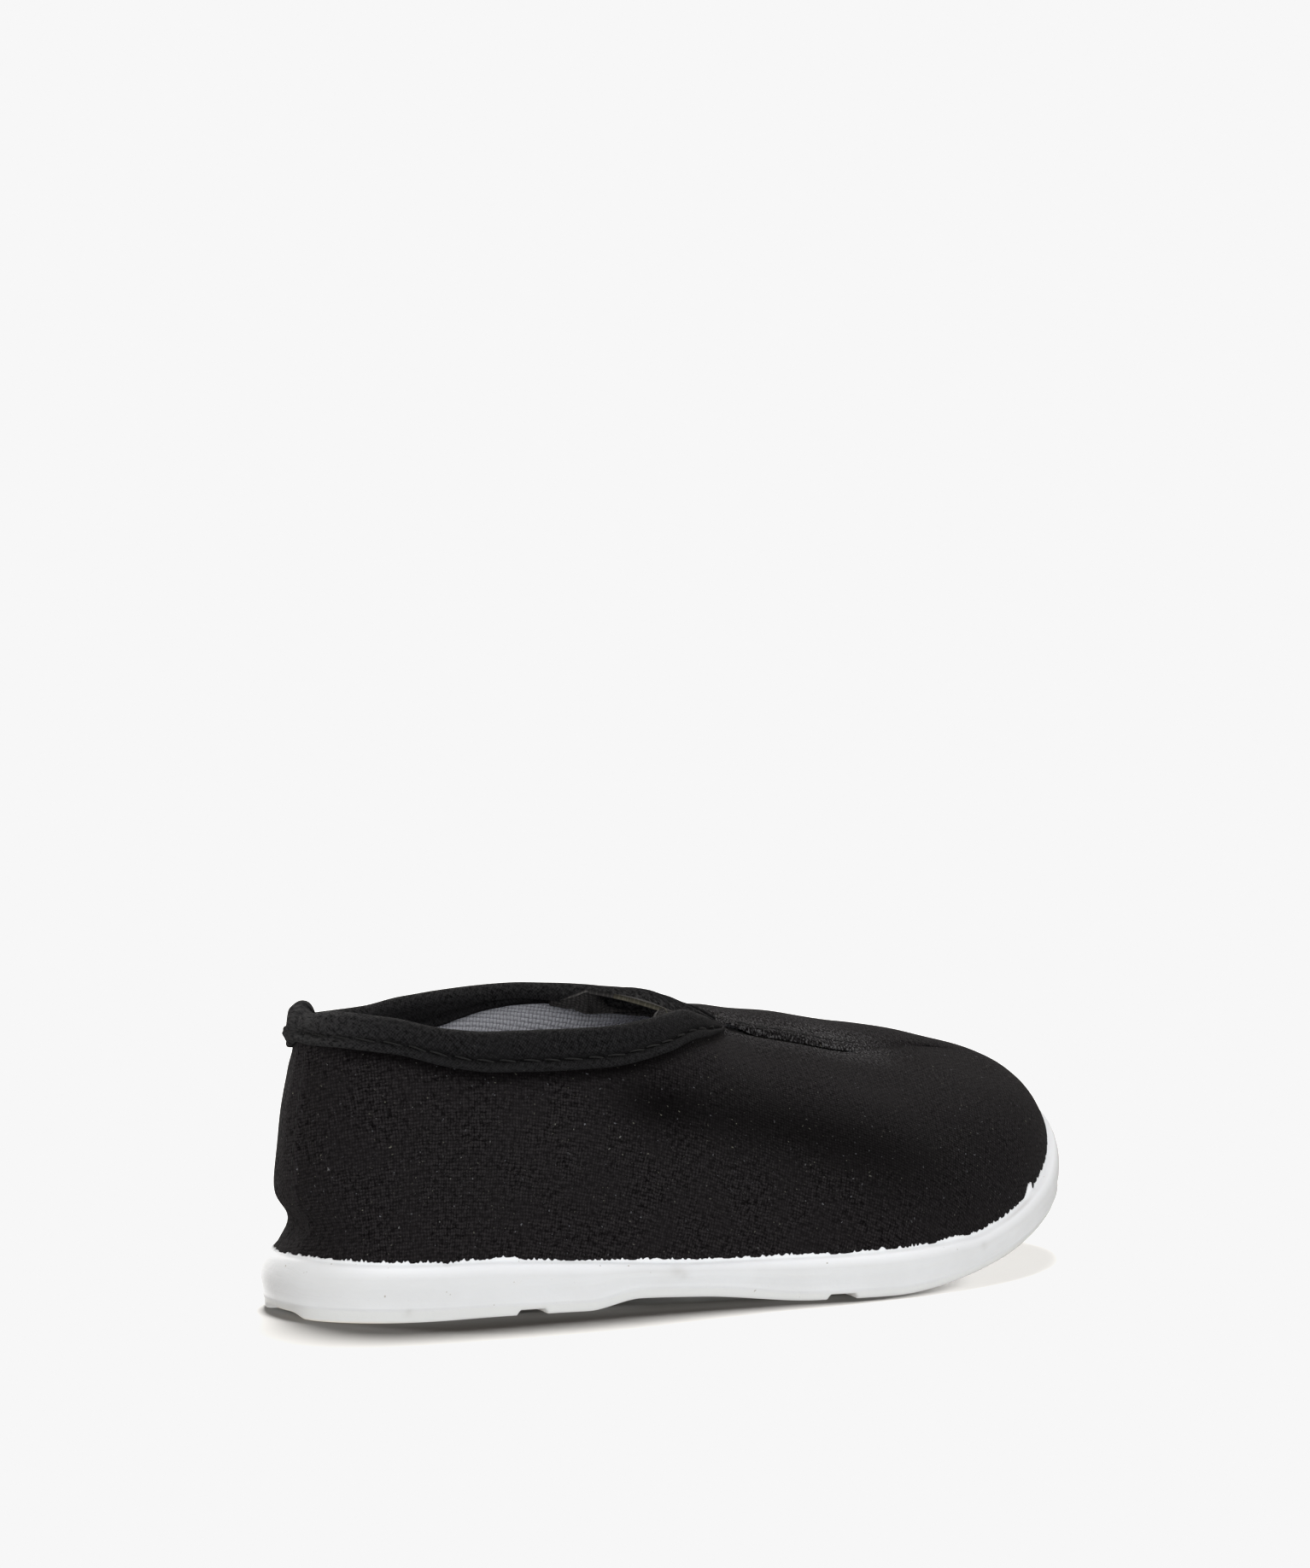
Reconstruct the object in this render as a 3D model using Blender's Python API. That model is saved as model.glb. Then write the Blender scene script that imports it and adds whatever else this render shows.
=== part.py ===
"""A child's canvas gym slipper for the right foot.

The sole is moulded round the feather edge of a one-piece canvas upper. A folded binding covers the rim of the
opening, an elastic gusset closes the V of the instep, and an insole lies on the floor of the sole.

X runs from heel to toe, Y to the wearer's left, the inner side of this foot, and Z up from the floor.
Sizes here are millimetres; meshes are made in metres.
"""
import math
from collections import namedtuple

import bmesh
import bpy
import numpy as np

METRES = 0.001

# Driving sizes
LENGTH = 165.0
GAP = 0.3
CANVAS = 1.6
BINDING = 1.0
GUSSET = 1.0
INSOLE = 2.0

# Plan of the sole: half widths on the lateral and medial side of the foot, by share of the length
Outline = namedtuple("Outline", "share lateral medial")
OUTLINE = [
    Outline(0.00, 21.6, 21.6),
    Outline(0.17, 22.1, 22.1),
    Outline(0.42, 28.9, 22.0),
    Outline(0.68, 38.4, 31.5),
    Outline(0.80, 37.8, 31.0),
    Outline(1.00, 34.6, 28.4),
]
HEEL_ROUND_SHARE = 0.16
HEEL_ROUND_POWER = 2.1
TOE_ROUND_SHARE = 0.40
TOE_ROUND_POWER = 2.3
SWING = 11.6
SWING_START = 0.40
SWING_POWER = 2.70

# Heights of the sole: tread, bead above the tread, top lip, and the seat that the upper stands on
Sole = namedtuple("Sole", "share tread bead lip seat")
SOLE = [
    Sole(0.000, 2.4, 1.6, 10.6, 7.2),
    Sole(0.008, 1.7, 1.7, 10.6, 7.1),
    Sole(0.020, 0.0, 2.1, 10.5, 7.0),
    Sole(0.18, 0.0, 2.0, 9.9, 6.5),
    Sole(0.30, 0.0, 2.1, 8.9, 6.0),
    Sole(0.36, 1.8, 2.1, 8.3, 5.7),
    Sole(0.43, 1.5, 2.1, 7.8, 5.3),
    Sole(0.55, 0.0, 1.8, 7.9, 4.7),
    Sole(0.65, 0.0, 1.8, 8.5, 4.6),
    Sole(0.82, 0.0, 1.7, 10.2, 4.6),
    Sole(1.00, 0.0, 1.7, 26.5, 4.6),
]
TOE_SPRING = 12.7
SPRING_START = 0.64
SPRING_POWER = 1.57
TREAD_GROOVES = (0.240, 0.578)
GROOVE_WIDTH = 4.6
GROOVE_DRAFT = 0.6
GROOVE_DEPTH = 1.0

# Side of the sole, from the tread up: how far each line lies inside the plan, the height it starts from,
# the share of the wall above the bead that it climbs, and a last step up or down
SideLine = namedtuple("SideLine", "inset start climb step")
SIDE_LINES = [
    SideLine(1.90, "tread", 0.00, 0.00),
    SideLine(1.20, "tread", 0.00, 0.50),
    SideLine(1.00, "bead", 0.00, -0.50),
    SideLine(0.20, "bead", 0.00, 0.00),
    SideLine(0.60, "bead", 0.00, 0.60),
    SideLine(0.00, "bead", 0.42, 0.00),
    SideLine(0.55, "bead", 0.80, 0.00),
    SideLine(1.20, "lip", 0.00, -0.15),
]
FEATHER_INSET = 2.4

# Sections of the upper, from the heel round to the toe. Each is one curve from the feather edge to the rim,
# or to the middle line of the instep: its end, its belly above the feather edge and its crown below the end.
Section = namedtuple("Section", "way top_x top_y top_z belly_out belly_up crown_fore crown_side crown_lift")
LATERAL_SECTIONS = [
    Section(0.000, -76.3, 0.0, 50.7, 1.2, 16.0, -3.4, 0.0, -15.0),
    Section(0.100, -73.6, -7.6, 51.2, 1.2, 16.0, -2.4, -1.9, -15.0),
    Section(0.200, -65.0, -13.6, 51.2, 1.6, 16.0, -0.6, -3.2, -15.0),
    Section(0.300, -48.5, -17.4, 49.0, 1.8, 17.0, 0.0, -4.0, -14.0),
    Section(0.400, -27.0, -17.4, 48.2, 2.2, 19.0, 0.0, -7.0, -11.0),
    Section(0.450, -13.5, -14.0, 48.9, 2.4, 20.0, 0.0, -10.0, -8.0),
    Section(0.500, -1.8, -6.8, 50.3, 2.4, 21.0, 0.0, -14.0, -6.0),
    Section(0.535, 8.2, 0.0, 45.6, 2.4, 21.0, 0.0, -18.0, -7.0),
    Section(0.600, 22.5, -0.2, 42.3, 2.2, 20.0, 0.0, -21.0, -9.0),
    Section(0.700, 37.0, 0.6, 39.4, 1.8, 18.0, 3.0, -21.0, -10.0),
    Section(0.850, 51.0, 5.0, 39.0, 1.6, 16.0, 14.0, -13.0, -9.0),
    Section(1.000, 57.0, 7.5, 38.3, 1.2, 14.0, 19.0, 2.0, -3.0),
]
MEDIAL_SECTIONS = [
    Section(0.000, -76.3, 0.0, 50.7, 1.2, 16.0, -3.4, 0.0, -15.0),
    Section(0.100, -73.6, 7.6, 50.6, 1.2, 16.0, -2.4, 1.9, -15.0),
    Section(0.200, -65.0, 13.6, 50.1, 1.6, 16.0, -0.6, 3.2, -15.0),
    Section(0.300, -48.5, 16.4, 50.8, 1.8, 17.0, 0.0, 3.6, -14.0),
    Section(0.400, -27.0, 17.4, 52.2, 2.0, 19.0, 0.0, 5.0, -11.0),
    Section(0.450, -13.5, 14.8, 51.7, 2.0, 20.0, 0.0, 8.0, -6.0),
    Section(0.500, -1.8, 7.6, 50.2, 2.0, 21.0, 0.0, 12.0, 0.0),
    Section(0.535, 8.2, 0.0, 45.6, 2.0, 26.0, 0.0, 15.0, 8.5),
    Section(0.600, 22.5, -0.2, 42.3, 1.8, 26.0, 0.0, 17.0, 11.0),
    Section(0.700, 37.0, 0.6, 39.4, 1.6, 24.0, 3.0, 17.0, 11.5),
    Section(0.850, 51.0, 5.0, 39.0, 1.4, 18.0, 14.0, 11.0, 4.0),
    Section(1.000, 57.0, 7.5, 38.3, 1.2, 14.0, 19.0, 2.0, -3.0),
]

# Height of the binding below the rim, from the heel to the throat
Rim = namedtuple("Rim", "way height")
BINDING_HEIGHTS = [
    Rim(0.00, 4.0),
    Rim(0.20, 4.6),
    Rim(0.30, 5.4),
    Rim(0.40, 6.0),
    Rim(0.50, 6.4),
    Rim(1.00, 6.4),
]
THROAT_WAY = 0.535
BINDING_END_WAY = 0.520
RIM_BEND_WAY = 0.508

# Forms pressed into the upper or raised on it
HEEL_DENT_DEPTH = 4.3
HEEL_DENT_HEIGHT = 15.4
HEEL_DENT_SPREAD = 3.4
HEEL_DENT_WAY = 0.13
BACK_SEAM_WAY = 0.014
BACK_SEAM_STEP_WAY = 0.004
BACK_SEAM_RAISE = 0.5
SLIT_END_WAY = 0.70
SLIT_LIP_RAISE = 0.6
SLIT_LIP_WIDTH = 1.8
HEEL_NUB_OUT = 1.5
HEEL_NUB_UP = 2.4
HEEL_NUB_WAY = 0.031
FOLD_ROUND = 0.72

# Elastic of the throat: where it starts behind the V, how far it runs past it, and how it is stretched across
GUSSET_REAR_X = -11.5
GUSSET_STATIONS_PAST = 3
GUSSET_BRIDGE = (0.16, 0.5, 0.84)
GUSSET_TUCK = 0.1
GUSSET_LIFT = 3.4
GUSSET_LIFT_SPANS = (8.0, 24.0)

# How finely the forms are drawn
WAY_STEPS = 42
CLOSEST_WAY = 0.009
WALL_ROWS = 8
CURVE_STEPS = 240
LIP_STEPS = 80
SHARP_ANGLE = 40


def smooth(places, values, at):
    """A curve through the values that never overshoots them."""
    places = np.asarray(places, float)
    values = np.asarray(values, float)
    at = np.clip(np.asarray(at, float), places[0], places[-1])
    steps = np.diff(places)
    slopes = np.diff(values) / steps
    bends = np.zeros(len(places))
    bends[0] = slopes[0]
    bends[-1] = slopes[-1]
    for i in range(1, len(places) - 1):
        before, after = slopes[i - 1], slopes[i]
        if before * after > 0:
            bends[i] = 2 * before * after / (before + after)
    cell = np.clip(np.searchsorted(places, at) - 1, 0, len(steps) - 1)
    step = steps[cell]
    t = (at - places[cell]) / step
    start = (2 * t**3 - 3 * t**2 + 1) * values[cell] + (t**3 - 2 * t**2 + t) * step * bends[cell]
    end = (3 * t**2 - 2 * t**3) * values[cell + 1] + (t**3 - t**2) * step * bends[cell + 1]
    return start + end


def read(table, name, at):
    """The named column of a table at a place along its first column."""
    first = table[0]._fields[0]
    return smooth([getattr(row, first) for row in table], [getattr(row, name) for row in table], at)


def share_of(way):
    """Share of the length reached on the way from heel to toe, with short steps at both ends."""
    return (1 - np.cos(np.pi * way)) / 2


def stations():
    """Ways at which every piece has a section, so that neighbours keep parallel faces."""
    seam = [BACK_SEAM_WAY, BACK_SEAM_WAY + BACK_SEAM_STEP_WAY]
    special = np.array(seam + [RIM_BEND_WAY, BINDING_END_WAY, THROAT_WAY])
    even = np.linspace(0, 1, WAY_STEPS + 1)
    clear = np.abs(even[:, None] - special[None, :]).min(axis=1) > CLOSEST_WAY
    return np.sort(np.concatenate([even[clear], special]))


WAYS = stations()
LAST = len(WAYS) - 1
LOOP = np.concatenate([np.arange(LAST + 1), np.arange(LAST - 1, 0, -1)])
COLUMNS = len(LOOP)
WAY = WAYS[LOOP]
SHARE = share_of(WAY)
LATERAL = np.arange(COLUMNS) <= LAST
SIDE = np.where(LATERAL, -1.0, 1.0)
THROAT = int(np.argmin(np.abs(WAYS - THROAT_WAY)))
BINDING_END = int(np.argmin(np.abs(WAYS - BINDING_END_WAY)))


def other(k):
    """Column on the medial side that faces column k of the lateral side."""
    return (COLUMNS - k) % COLUMNS


def plan():
    """The plan of the sole as a loop of points from the heel, and its outward directions."""
    heel = (1 - np.clip(1 - SHARE / HEEL_ROUND_SHARE, 0, 1) ** HEEL_ROUND_POWER) ** (1 / HEEL_ROUND_POWER)
    past = np.clip((SHARE - 1 + TOE_ROUND_SHARE) / TOE_ROUND_SHARE, 0, 1)
    toe = (1 - past**TOE_ROUND_POWER) ** (1 / TOE_ROUND_POWER)
    half = np.where(LATERAL, read(OUTLINE, "lateral", SHARE), read(OUTLINE, "medial", SHARE))
    swing = SWING * np.clip((SHARE - SWING_START) / (1 - SWING_START), 0, 1) ** SWING_POWER
    points = np.stack([LENGTH * (SHARE - 0.5), swing + SIDE * half * heel * toe], axis=1)
    along = np.roll(points, -1, axis=0) - np.roll(points, 1, axis=0)
    along /= np.linalg.norm(along, axis=1)[:, None]
    return points, np.stack([along[:, 1], -along[:, 0]], axis=1)


PLAN, OUTWARD = plan()
MIDDLE_Y = (PLAN[:, 1].min() + PLAN[:, 1].max()) / 2
SPRING = TOE_SPRING * np.clip((SHARE - SPRING_START) / (1 - SPRING_START), 0, 1) ** SPRING_POWER
TREAD = read(SOLE, "tread", SHARE) + SPRING
LIP = read(SOLE, "lip", SHARE)
SEAT = read(SOLE, "seat", SHARE) + SPRING


def inside(inset, height):
    """The plan drawn in by an inset, at a height."""
    flat = PLAN - np.broadcast_to(inset, COLUMNS)[:, None] * OUTWARD
    return np.column_stack([flat, np.broadcast_to(height, COLUMNS)])


def section_value(name):
    """The named column of both tables of sections, for every column of the loop."""
    return np.where(LATERAL, read(LATERAL_SECTIONS, name, WAY), read(MEDIAL_SECTIONS, name, WAY))


def upper_curves():
    """Four control points for the curve of every column of the upper."""
    base = inside(FEATHER_INSET, SEAT + GAP)
    top = np.column_stack([section_value("top_x"), section_value("top_y"), section_value("top_z")])
    out = np.column_stack([OUTWARD, np.zeros(COLUMNS)])
    belly = base + out * section_value("belly_out")[:, None]
    belly[:, 2] += section_value("belly_up")
    crown = top + np.column_stack(
        [section_value("crown_fore"), section_value("crown_side"), section_value("crown_lift")]
    )
    return base, belly, crown, top


def on_curve(curves, column, t):
    """Points of one column's curve."""
    t = np.asarray(t, float)[:, None]
    base, belly, crown, top = (points[column] for points in curves)
    return (1 - t) ** 3 * base + 3 * t * (1 - t) ** 2 * belly + 3 * t**2 * (1 - t) * crown + t**3 * top


def upper_rows():
    """Outer face of the upper: feather edge, lip, rows up the wall, edge of the binding and rim."""
    curves = upper_curves()
    heights = read(BINDING_HEIGHTS, "height", WAY)
    fine = np.linspace(0, 1, CURVE_STEPS + 1)
    low = slice(LIP_STEPS + 1)
    rows = []
    for column in range(COLUMNS):
        path = on_curve(curves, column, fine)
        steps = np.linalg.norm(np.diff(path, axis=0), axis=1)
        reach = np.concatenate([[0], np.cumsum(steps)])
        lip = np.interp(LIP[column], path[low, 2], reach[low])
        binding = reach[-1] - heights[column]
        wall = np.linspace(lip, binding, WALL_ROWS + 2)
        marks = np.concatenate([[0], wall, [reach[-1] - SLIT_LIP_WIDTH, reach[-1]]])
        rows.append(on_curve(curves, column, np.interp(marks, reach, fine)))
    return np.array(rows)


LIP_ROW = 1
BINDING_ROW = WALL_ROWS + 2
NEAR_ROW = BINDING_ROW + 1
TOP_ROW = BINDING_ROW + 2
WING_ROW = BINDING_ROW - 1


def press_forms(rows):
    """Presses the crease above the heel into the wall, and raises the back seam and the lip of the slit."""
    out = np.column_stack([OUTWARD, np.zeros(COLUMNS)])
    height = rows[:, :, 2]
    crease = np.exp(-(((height - HEEL_DENT_HEIGHT) / HEEL_DENT_SPREAD) ** 2))
    at_heel = np.exp(-((WAY / HEEL_DENT_WAY) ** 2))
    seam = np.clip((BACK_SEAM_WAY + BACK_SEAM_STEP_WAY - WAY) / BACK_SEAM_STEP_WAY, 0, 1)
    move = BACK_SEAM_RAISE * seam[:, None] - HEEL_DENT_DEPTH * crease * at_heel[:, None]
    move[:, : LIP_ROW + 1] = 0
    rows = rows + move[:, :, None] * out[:, None, :]
    slit = np.interp(WAY, [THROAT_WAY, SLIT_END_WAY], [1, 0], left=0, right=0)
    rows[:, TOP_ROW, 2] += SLIT_LIP_RAISE * slit
    return rows


def top_owner(column):
    """Beyond the throat both sides share the points on the middle line of the instep."""
    k = LOOP[column]
    return k if k >= THROAT else column


def strip_faces(first, second, closed):
    """Quads between two rows of point numbers."""
    count = len(first) if closed else len(first) - 1
    return [
        (first[i], first[(i + 1) % len(first)], second[(i + 1) % len(first)], second[i]) for i in range(count)
    ]


def grid_faces(numbers, closed):
    """Quads of a grid given as rows of point numbers."""
    faces = []
    for first, second in zip(numbers[:-1], numbers[1:]):
        faces.extend(strip_faces(first, second, closed))
    return faces


def across_faces(ring):
    """Faces that fill a loop of columns with strips from the lateral side to the medial side."""
    faces = []
    for k in range(LAST):
        faces.append((ring[k], ring[k + 1], ring[other(k + 1)], ring[other(k)]))
    return faces


def point_normals(points, faces):
    """Mean directions of the faces round each point."""
    normals = np.zeros_like(points)
    for face in faces:
        corners = points[list(face)]
        normal = np.cross(corners[2] - corners[0], corners[3] - corners[1])
        for number in face:
            normals[number] += normal
    return normals / np.maximum(np.linalg.norm(normals, axis=1), 1e-12)[:, None]


def upper_surface():
    """Points, outward directions and numbering of the outer face of the upper."""
    rows = press_forms(upper_rows())
    count = TOP_ROW + 1
    points = rows.reshape(-1, 3)
    numbers = np.arange(COLUMNS * count).reshape(COLUMNS, count)
    for column in range(COLUMNS):
        numbers[column, TOP_ROW] = top_owner(column) * count + TOP_ROW
    faces = grid_faces(numbers.T, closed=True)
    return points, point_normals(points, faces), numbers, faces


POINTS, NORMALS, NUMBERS, UPPER_FACES = upper_surface()


def under_surface(column, row, depth):
    """A point below the outer face of the upper, or above it for a negative depth."""
    number = NUMBERS[column, row]
    return POINTS[number] - NORMALS[number] * depth


def in_millimetres(points):
    """Points placed with the middle of the plan at Y zero."""
    return np.asarray(points, float) - np.array([0.0, MIDDLE_Y, 0.0])


def material(name, colour, roughness):
    """A plain material of one colour."""
    paint = bpy.data.materials.new(name)
    paint.use_nodes = True
    shader = paint.node_tree.nodes["Principled BSDF"]
    shader.inputs["Base Color"].default_value = (*colour, 1.0)
    shader.inputs["Roughness"].default_value = roughness
    shader.inputs["Metallic"].default_value = 0.0
    return paint


def solid(name, points, faces, paint):
    """One closed body from points in millimetres."""
    body = bmesh.new()
    corners = [body.verts.new(point) for point in in_millimetres(points) * METRES]
    for face in faces:
        numbers = list(dict.fromkeys(face))
        if len(numbers) > 2:
            body.faces.new([corners[number] for number in numbers])
    bmesh.ops.delete(body, geom=[v for v in body.verts if not v.link_faces], context="VERTS")
    bmesh.ops.triangulate(body, faces=body.faces[:])
    bmesh.ops.recalc_face_normals(body, faces=body.faces[:])
    mesh = bpy.data.meshes.new(name)
    body.to_mesh(mesh)
    body.free()
    mesh.shade_smooth()
    mesh.set_sharp_from_angle(angle=math.radians(SHARP_ANGLE))
    mesh.materials.append(paint)
    piece = bpy.data.objects.new(name, mesh)
    bpy.context.scene.collection.objects.link(piece)
    return piece


def groove_cutter(share):
    """A bar with drafted sides that presses one groove across the tread."""
    middle = LENGTH * (share - 0.5)
    half = GROOVE_WIDTH / 2
    mouth = half + 2 * GROOVE_DRAFT
    profile = [(mouth, -GROOVE_DEPTH), (half, GROOVE_DEPTH), (-half, GROOVE_DEPTH), (-mouth, -GROOVE_DEPTH)]
    points = [(middle + x, side * LENGTH / 2, z) for side in (-1, 1) for x, z in profile]
    numbers = np.arange(8).reshape(2, 4)
    faces = grid_faces(numbers, closed=True) + [tuple(numbers[0]), tuple(numbers[1])]
    cutter = solid("groove_cutter", points, faces, material("cutter", (0.5, 0.5, 0.5), 0.5))
    cutter.hide_render = True
    cutter.display_type = "WIRE"
    return cutter


def make_outsole():
    """The moulded sole: its side from the tread up to the lip, then down to the seat of the upper."""
    bead = TREAD + read(SOLE, "bead", SHARE)
    wall = LIP - bead
    starts = {"tread": TREAD, "bead": bead, "lip": LIP}
    lip_in = np.array([under_surface(column, LIP_ROW, 0) for column in range(COLUMNS)])
    lip_in[:, :2] += GAP * OUTWARD
    seat_in = np.array([under_surface(column, 0, 0) for column in range(COLUMNS)])
    seat_in[:, :2] += GAP * OUTWARD
    seat_in[:, 2] = SEAT
    rings = [inside(line.inset, starts[line.start] + line.climb * wall + line.step) for line in SIDE_LINES]
    rings += [lip_in, seat_in]
    numbers = np.arange(len(rings) * COLUMNS).reshape(len(rings), COLUMNS)
    faces = grid_faces(numbers, closed=True) + across_faces(numbers[0]) + across_faces(numbers[-1])
    paint = material("white_rubber", (0.80, 0.81, 0.82), 0.5)
    outsole = solid("outsole", np.concatenate(rings), faces, paint)
    for share in TREAD_GROOVES:
        cut = outsole.modifiers.new("groove", "BOOLEAN")
        cut.operation = "DIFFERENCE"
        cut.solver = "EXACT"
        cut.object = groove_cutter(share)
    return outsole


def make_upper():
    """The canvas shell with its lining: one wall, open at the collar and along the feather edge."""
    inner = POINTS - NORMALS * CANVAS
    feather = NUMBERS[:, 0]
    inner[feather, 2] = POINTS[feather, 2]
    count = len(POINTS)
    inner_numbers = NUMBERS + count
    faces = list(UPPER_FACES) + grid_faces(inner_numbers.T, closed=True)
    faces += strip_faces(feather, inner_numbers[:, 0], closed=True)
    rim = [column % COLUMNS for column in range(-THROAT, THROAT + 1)]
    faces += strip_faces(NUMBERS[rim, TOP_ROW], inner_numbers[rim, TOP_ROW], closed=False)
    paint = material("black_canvas", (0.012, 0.012, 0.013), 0.95)
    return solid("upper", np.concatenate([POINTS, inner]), faces, paint)


def binding_section(column):
    """Loop of points round the rim: the outer skin down the inside, then back along the gap to the canvas."""
    nub = np.clip(1 - WAY[column] / HEEL_NUB_WAY, 0, 1)
    lining = GAP + BINDING
    skin = lining + HEEL_NUB_OUT * nub
    crest = lining + HEEL_NUB_UP * nub
    top = under_surface(column, TOP_ROW, 0)
    inner_top = under_surface(column, TOP_ROW, CANVAS)
    up = top - under_surface(column, NEAR_ROW, 0)
    up /= np.linalg.norm(up)
    normal = NORMALS[NUMBERS[column, TOP_ROW]]
    return [
        under_surface(column, BINDING_ROW, -GAP),
        under_surface(column, BINDING_ROW, -GAP - BINDING),
        under_surface(column, NEAR_ROW, -skin),
        top + FOLD_ROUND * (skin * normal + crest * up),
        (top + inner_top) / 2 + crest * up,
        inner_top + FOLD_ROUND * lining * (up - normal),
        under_surface(column, NEAR_ROW, CANVAS + lining),
        under_surface(column, BINDING_ROW, CANVAS + lining),
        under_surface(column, BINDING_ROW, CANVAS + GAP),
        under_surface(column, NEAR_ROW, CANVAS + GAP),
        inner_top + GAP * (up - normal),
        top + GAP * (up + normal),
        under_surface(column, NEAR_ROW, -GAP),
    ]


def make_collar_binding():
    """The folded strip over the rim, in one length from one side of the V round the heel to the other."""
    columns = [column % COLUMNS for column in range(-BINDING_END, BINDING_END + 1)]
    sections = np.array([binding_section(column) for column in columns])
    numbers = np.arange(sections.shape[0] * sections.shape[1]).reshape(sections.shape[:2])
    faces = grid_faces(numbers, closed=True) + [tuple(numbers[0]), tuple(numbers[-1])]
    paint = material("black_binding", (0.012, 0.012, 0.013), 0.9)
    return solid("collar_binding", sections.reshape(-1, 3), faces, paint)


def gusset_depth(k):
    """Depth of the elastic below the outer face: under the binding, or straight under the canvas."""
    under_canvas = CANVAS + GAP + GUSSET / 2
    under_binding = under_canvas + GAP + BINDING
    return np.interp(k, [BINDING_END + 1, THROAT + 1], [under_binding, under_canvas])


def gusset_line(k):
    """The elastic at one station: up one wall, stretched across the throat, and down the other wall."""
    depth = gusset_depth(k)
    rows = range(WING_ROW, TOP_ROW + (k < THROAT))
    near = [under_surface(k, row, depth) for row in rows]
    far = [under_surface(other(k), row, depth) for row in rows]
    if k >= THROAT:
        tuck = GUSSET_TUCK * (far[-1] - near[-1])
        near.append(near[-1] + tuck)
        far.append(far[-1] - tuck)
    span = np.linalg.norm(far[-1] - near[-1])
    lift = np.array([0.0, 0.0, np.interp(span, GUSSET_LIFT_SPANS, (0.0, GUSSET_LIFT))])
    bridge = [(1 - part) * near[-1] + part * far[-1] + lift for part in GUSSET_BRIDGE]
    return near + bridge + far[::-1]


def make_throat_gusset():
    """The elastic panel under the V: a sheet of even thickness round its own middle surface."""
    rear = int(np.argmin(np.abs(POINTS[NUMBERS[: THROAT + 1, TOP_ROW], 0] - GUSSET_REAR_X)))
    middle = np.array([gusset_line(k) for k in range(rear, THROAT + GUSSET_STATIONS_PAST + 1)])
    numbers = np.arange(middle.shape[0] * middle.shape[1]).reshape(middle.shape[:2])
    points = middle.reshape(-1, 3)
    faces = grid_faces(numbers, closed=False)
    normals = point_normals(points, faces)
    upper_points = points + normals * GUSSET / 2
    lower_points = points - normals * GUSSET / 2
    below = numbers + len(points)
    faces += grid_faces(below, closed=False)
    border = np.concatenate([numbers[0], numbers[1:, -1], numbers[-1, -2::-1], numbers[-2:0:-1, 0]])
    faces += strip_faces(border, border + len(points), closed=True)
    paint = material("black_elastic", (0.010, 0.010, 0.010), 0.9)
    return solid("throat_gusset", np.concatenate([upper_points, lower_points]), faces, paint)


def make_insole():
    """The board and sock that lie on the floor of the sole inside the feather edge."""
    edge = np.array([under_surface(column, 0, 0) for column in range(COLUMNS)])
    edge[:, :2] -= (CANVAS + GAP) * OUTWARD
    low = edge.copy()
    high = edge.copy()
    low[:, 2] = SEAT + GAP
    high[:, 2] = SEAT + GAP + INSOLE
    numbers = np.arange(2 * COLUMNS).reshape(2, COLUMNS)
    faces = grid_faces(numbers, closed=True) + across_faces(numbers[0]) + across_faces(numbers[1])
    paint = material("grey_sock", (0.20, 0.20, 0.22), 0.95)
    return solid("insole", np.concatenate([low, high]), faces, paint)


def main():
    for old in list(bpy.data.objects):
        bpy.data.objects.remove(old, do_unlink=True)
    make_outsole()
    make_upper()
    make_collar_binding()
    make_throat_gusset()
    make_insole()


main()
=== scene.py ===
"""Looks of a child's canvas gym slipper for the right foot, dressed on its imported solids.

The upper, binding, elastic, insole and sole are drawn again from the sizes of the solids, with the weave,
seams, stitches, creases and moulding marks of the real slipper.

X runs from heel to toe, Y to the wearer's left, the inner side of this foot, and Z up from the floor.
Sizes are millimetres until a mesh is made.
"""
import math
from collections import namedtuple

import bpy
import numpy as np
from mathutils import Matrix, Vector


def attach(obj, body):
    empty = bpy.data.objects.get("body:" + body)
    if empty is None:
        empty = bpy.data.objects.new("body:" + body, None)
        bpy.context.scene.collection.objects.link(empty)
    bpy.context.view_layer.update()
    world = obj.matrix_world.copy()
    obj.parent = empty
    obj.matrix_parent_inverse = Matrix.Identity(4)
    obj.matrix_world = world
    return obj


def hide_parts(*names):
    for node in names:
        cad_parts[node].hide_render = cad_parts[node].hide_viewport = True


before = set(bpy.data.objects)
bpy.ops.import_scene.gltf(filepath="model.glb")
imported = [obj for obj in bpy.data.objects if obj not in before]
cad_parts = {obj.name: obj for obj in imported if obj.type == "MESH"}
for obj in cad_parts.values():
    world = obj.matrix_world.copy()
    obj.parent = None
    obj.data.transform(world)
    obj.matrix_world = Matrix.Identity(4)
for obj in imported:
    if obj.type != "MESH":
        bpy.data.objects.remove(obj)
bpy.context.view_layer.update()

METRES = 0.001


def table(columns, *rows):
    """Rows of values under named columns."""
    row_kind = namedtuple("Row", columns)
    return [row_kind(*row) for row in rows]


# Driving sizes
LENGTH = 165.0
GAP = 0.3
CANVAS = 1.6
GUSSET = 0.8

# Plan of the sole: half widths on the lateral and medial side of the foot, by share of the length
OUTLINE = table(
    "share lateral medial",
    (0.00, 21.6, 21.6),
    (0.17, 22.1, 22.1),
    (0.42, 28.9, 22.0),
    (0.68, 38.4, 31.5),
    (0.80, 37.8, 31.0),
    (1.00, 34.6, 28.4),
)
HEEL_ROUND_SHARE = 0.16
HEEL_ROUND_POWER = 2.1
TOE_ROUND_SHARE = 0.40
TOE_ROUND_POWER = 2.3
SWING = 11.6
SWING_START = 0.40
SWING_POWER = 2.70

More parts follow.
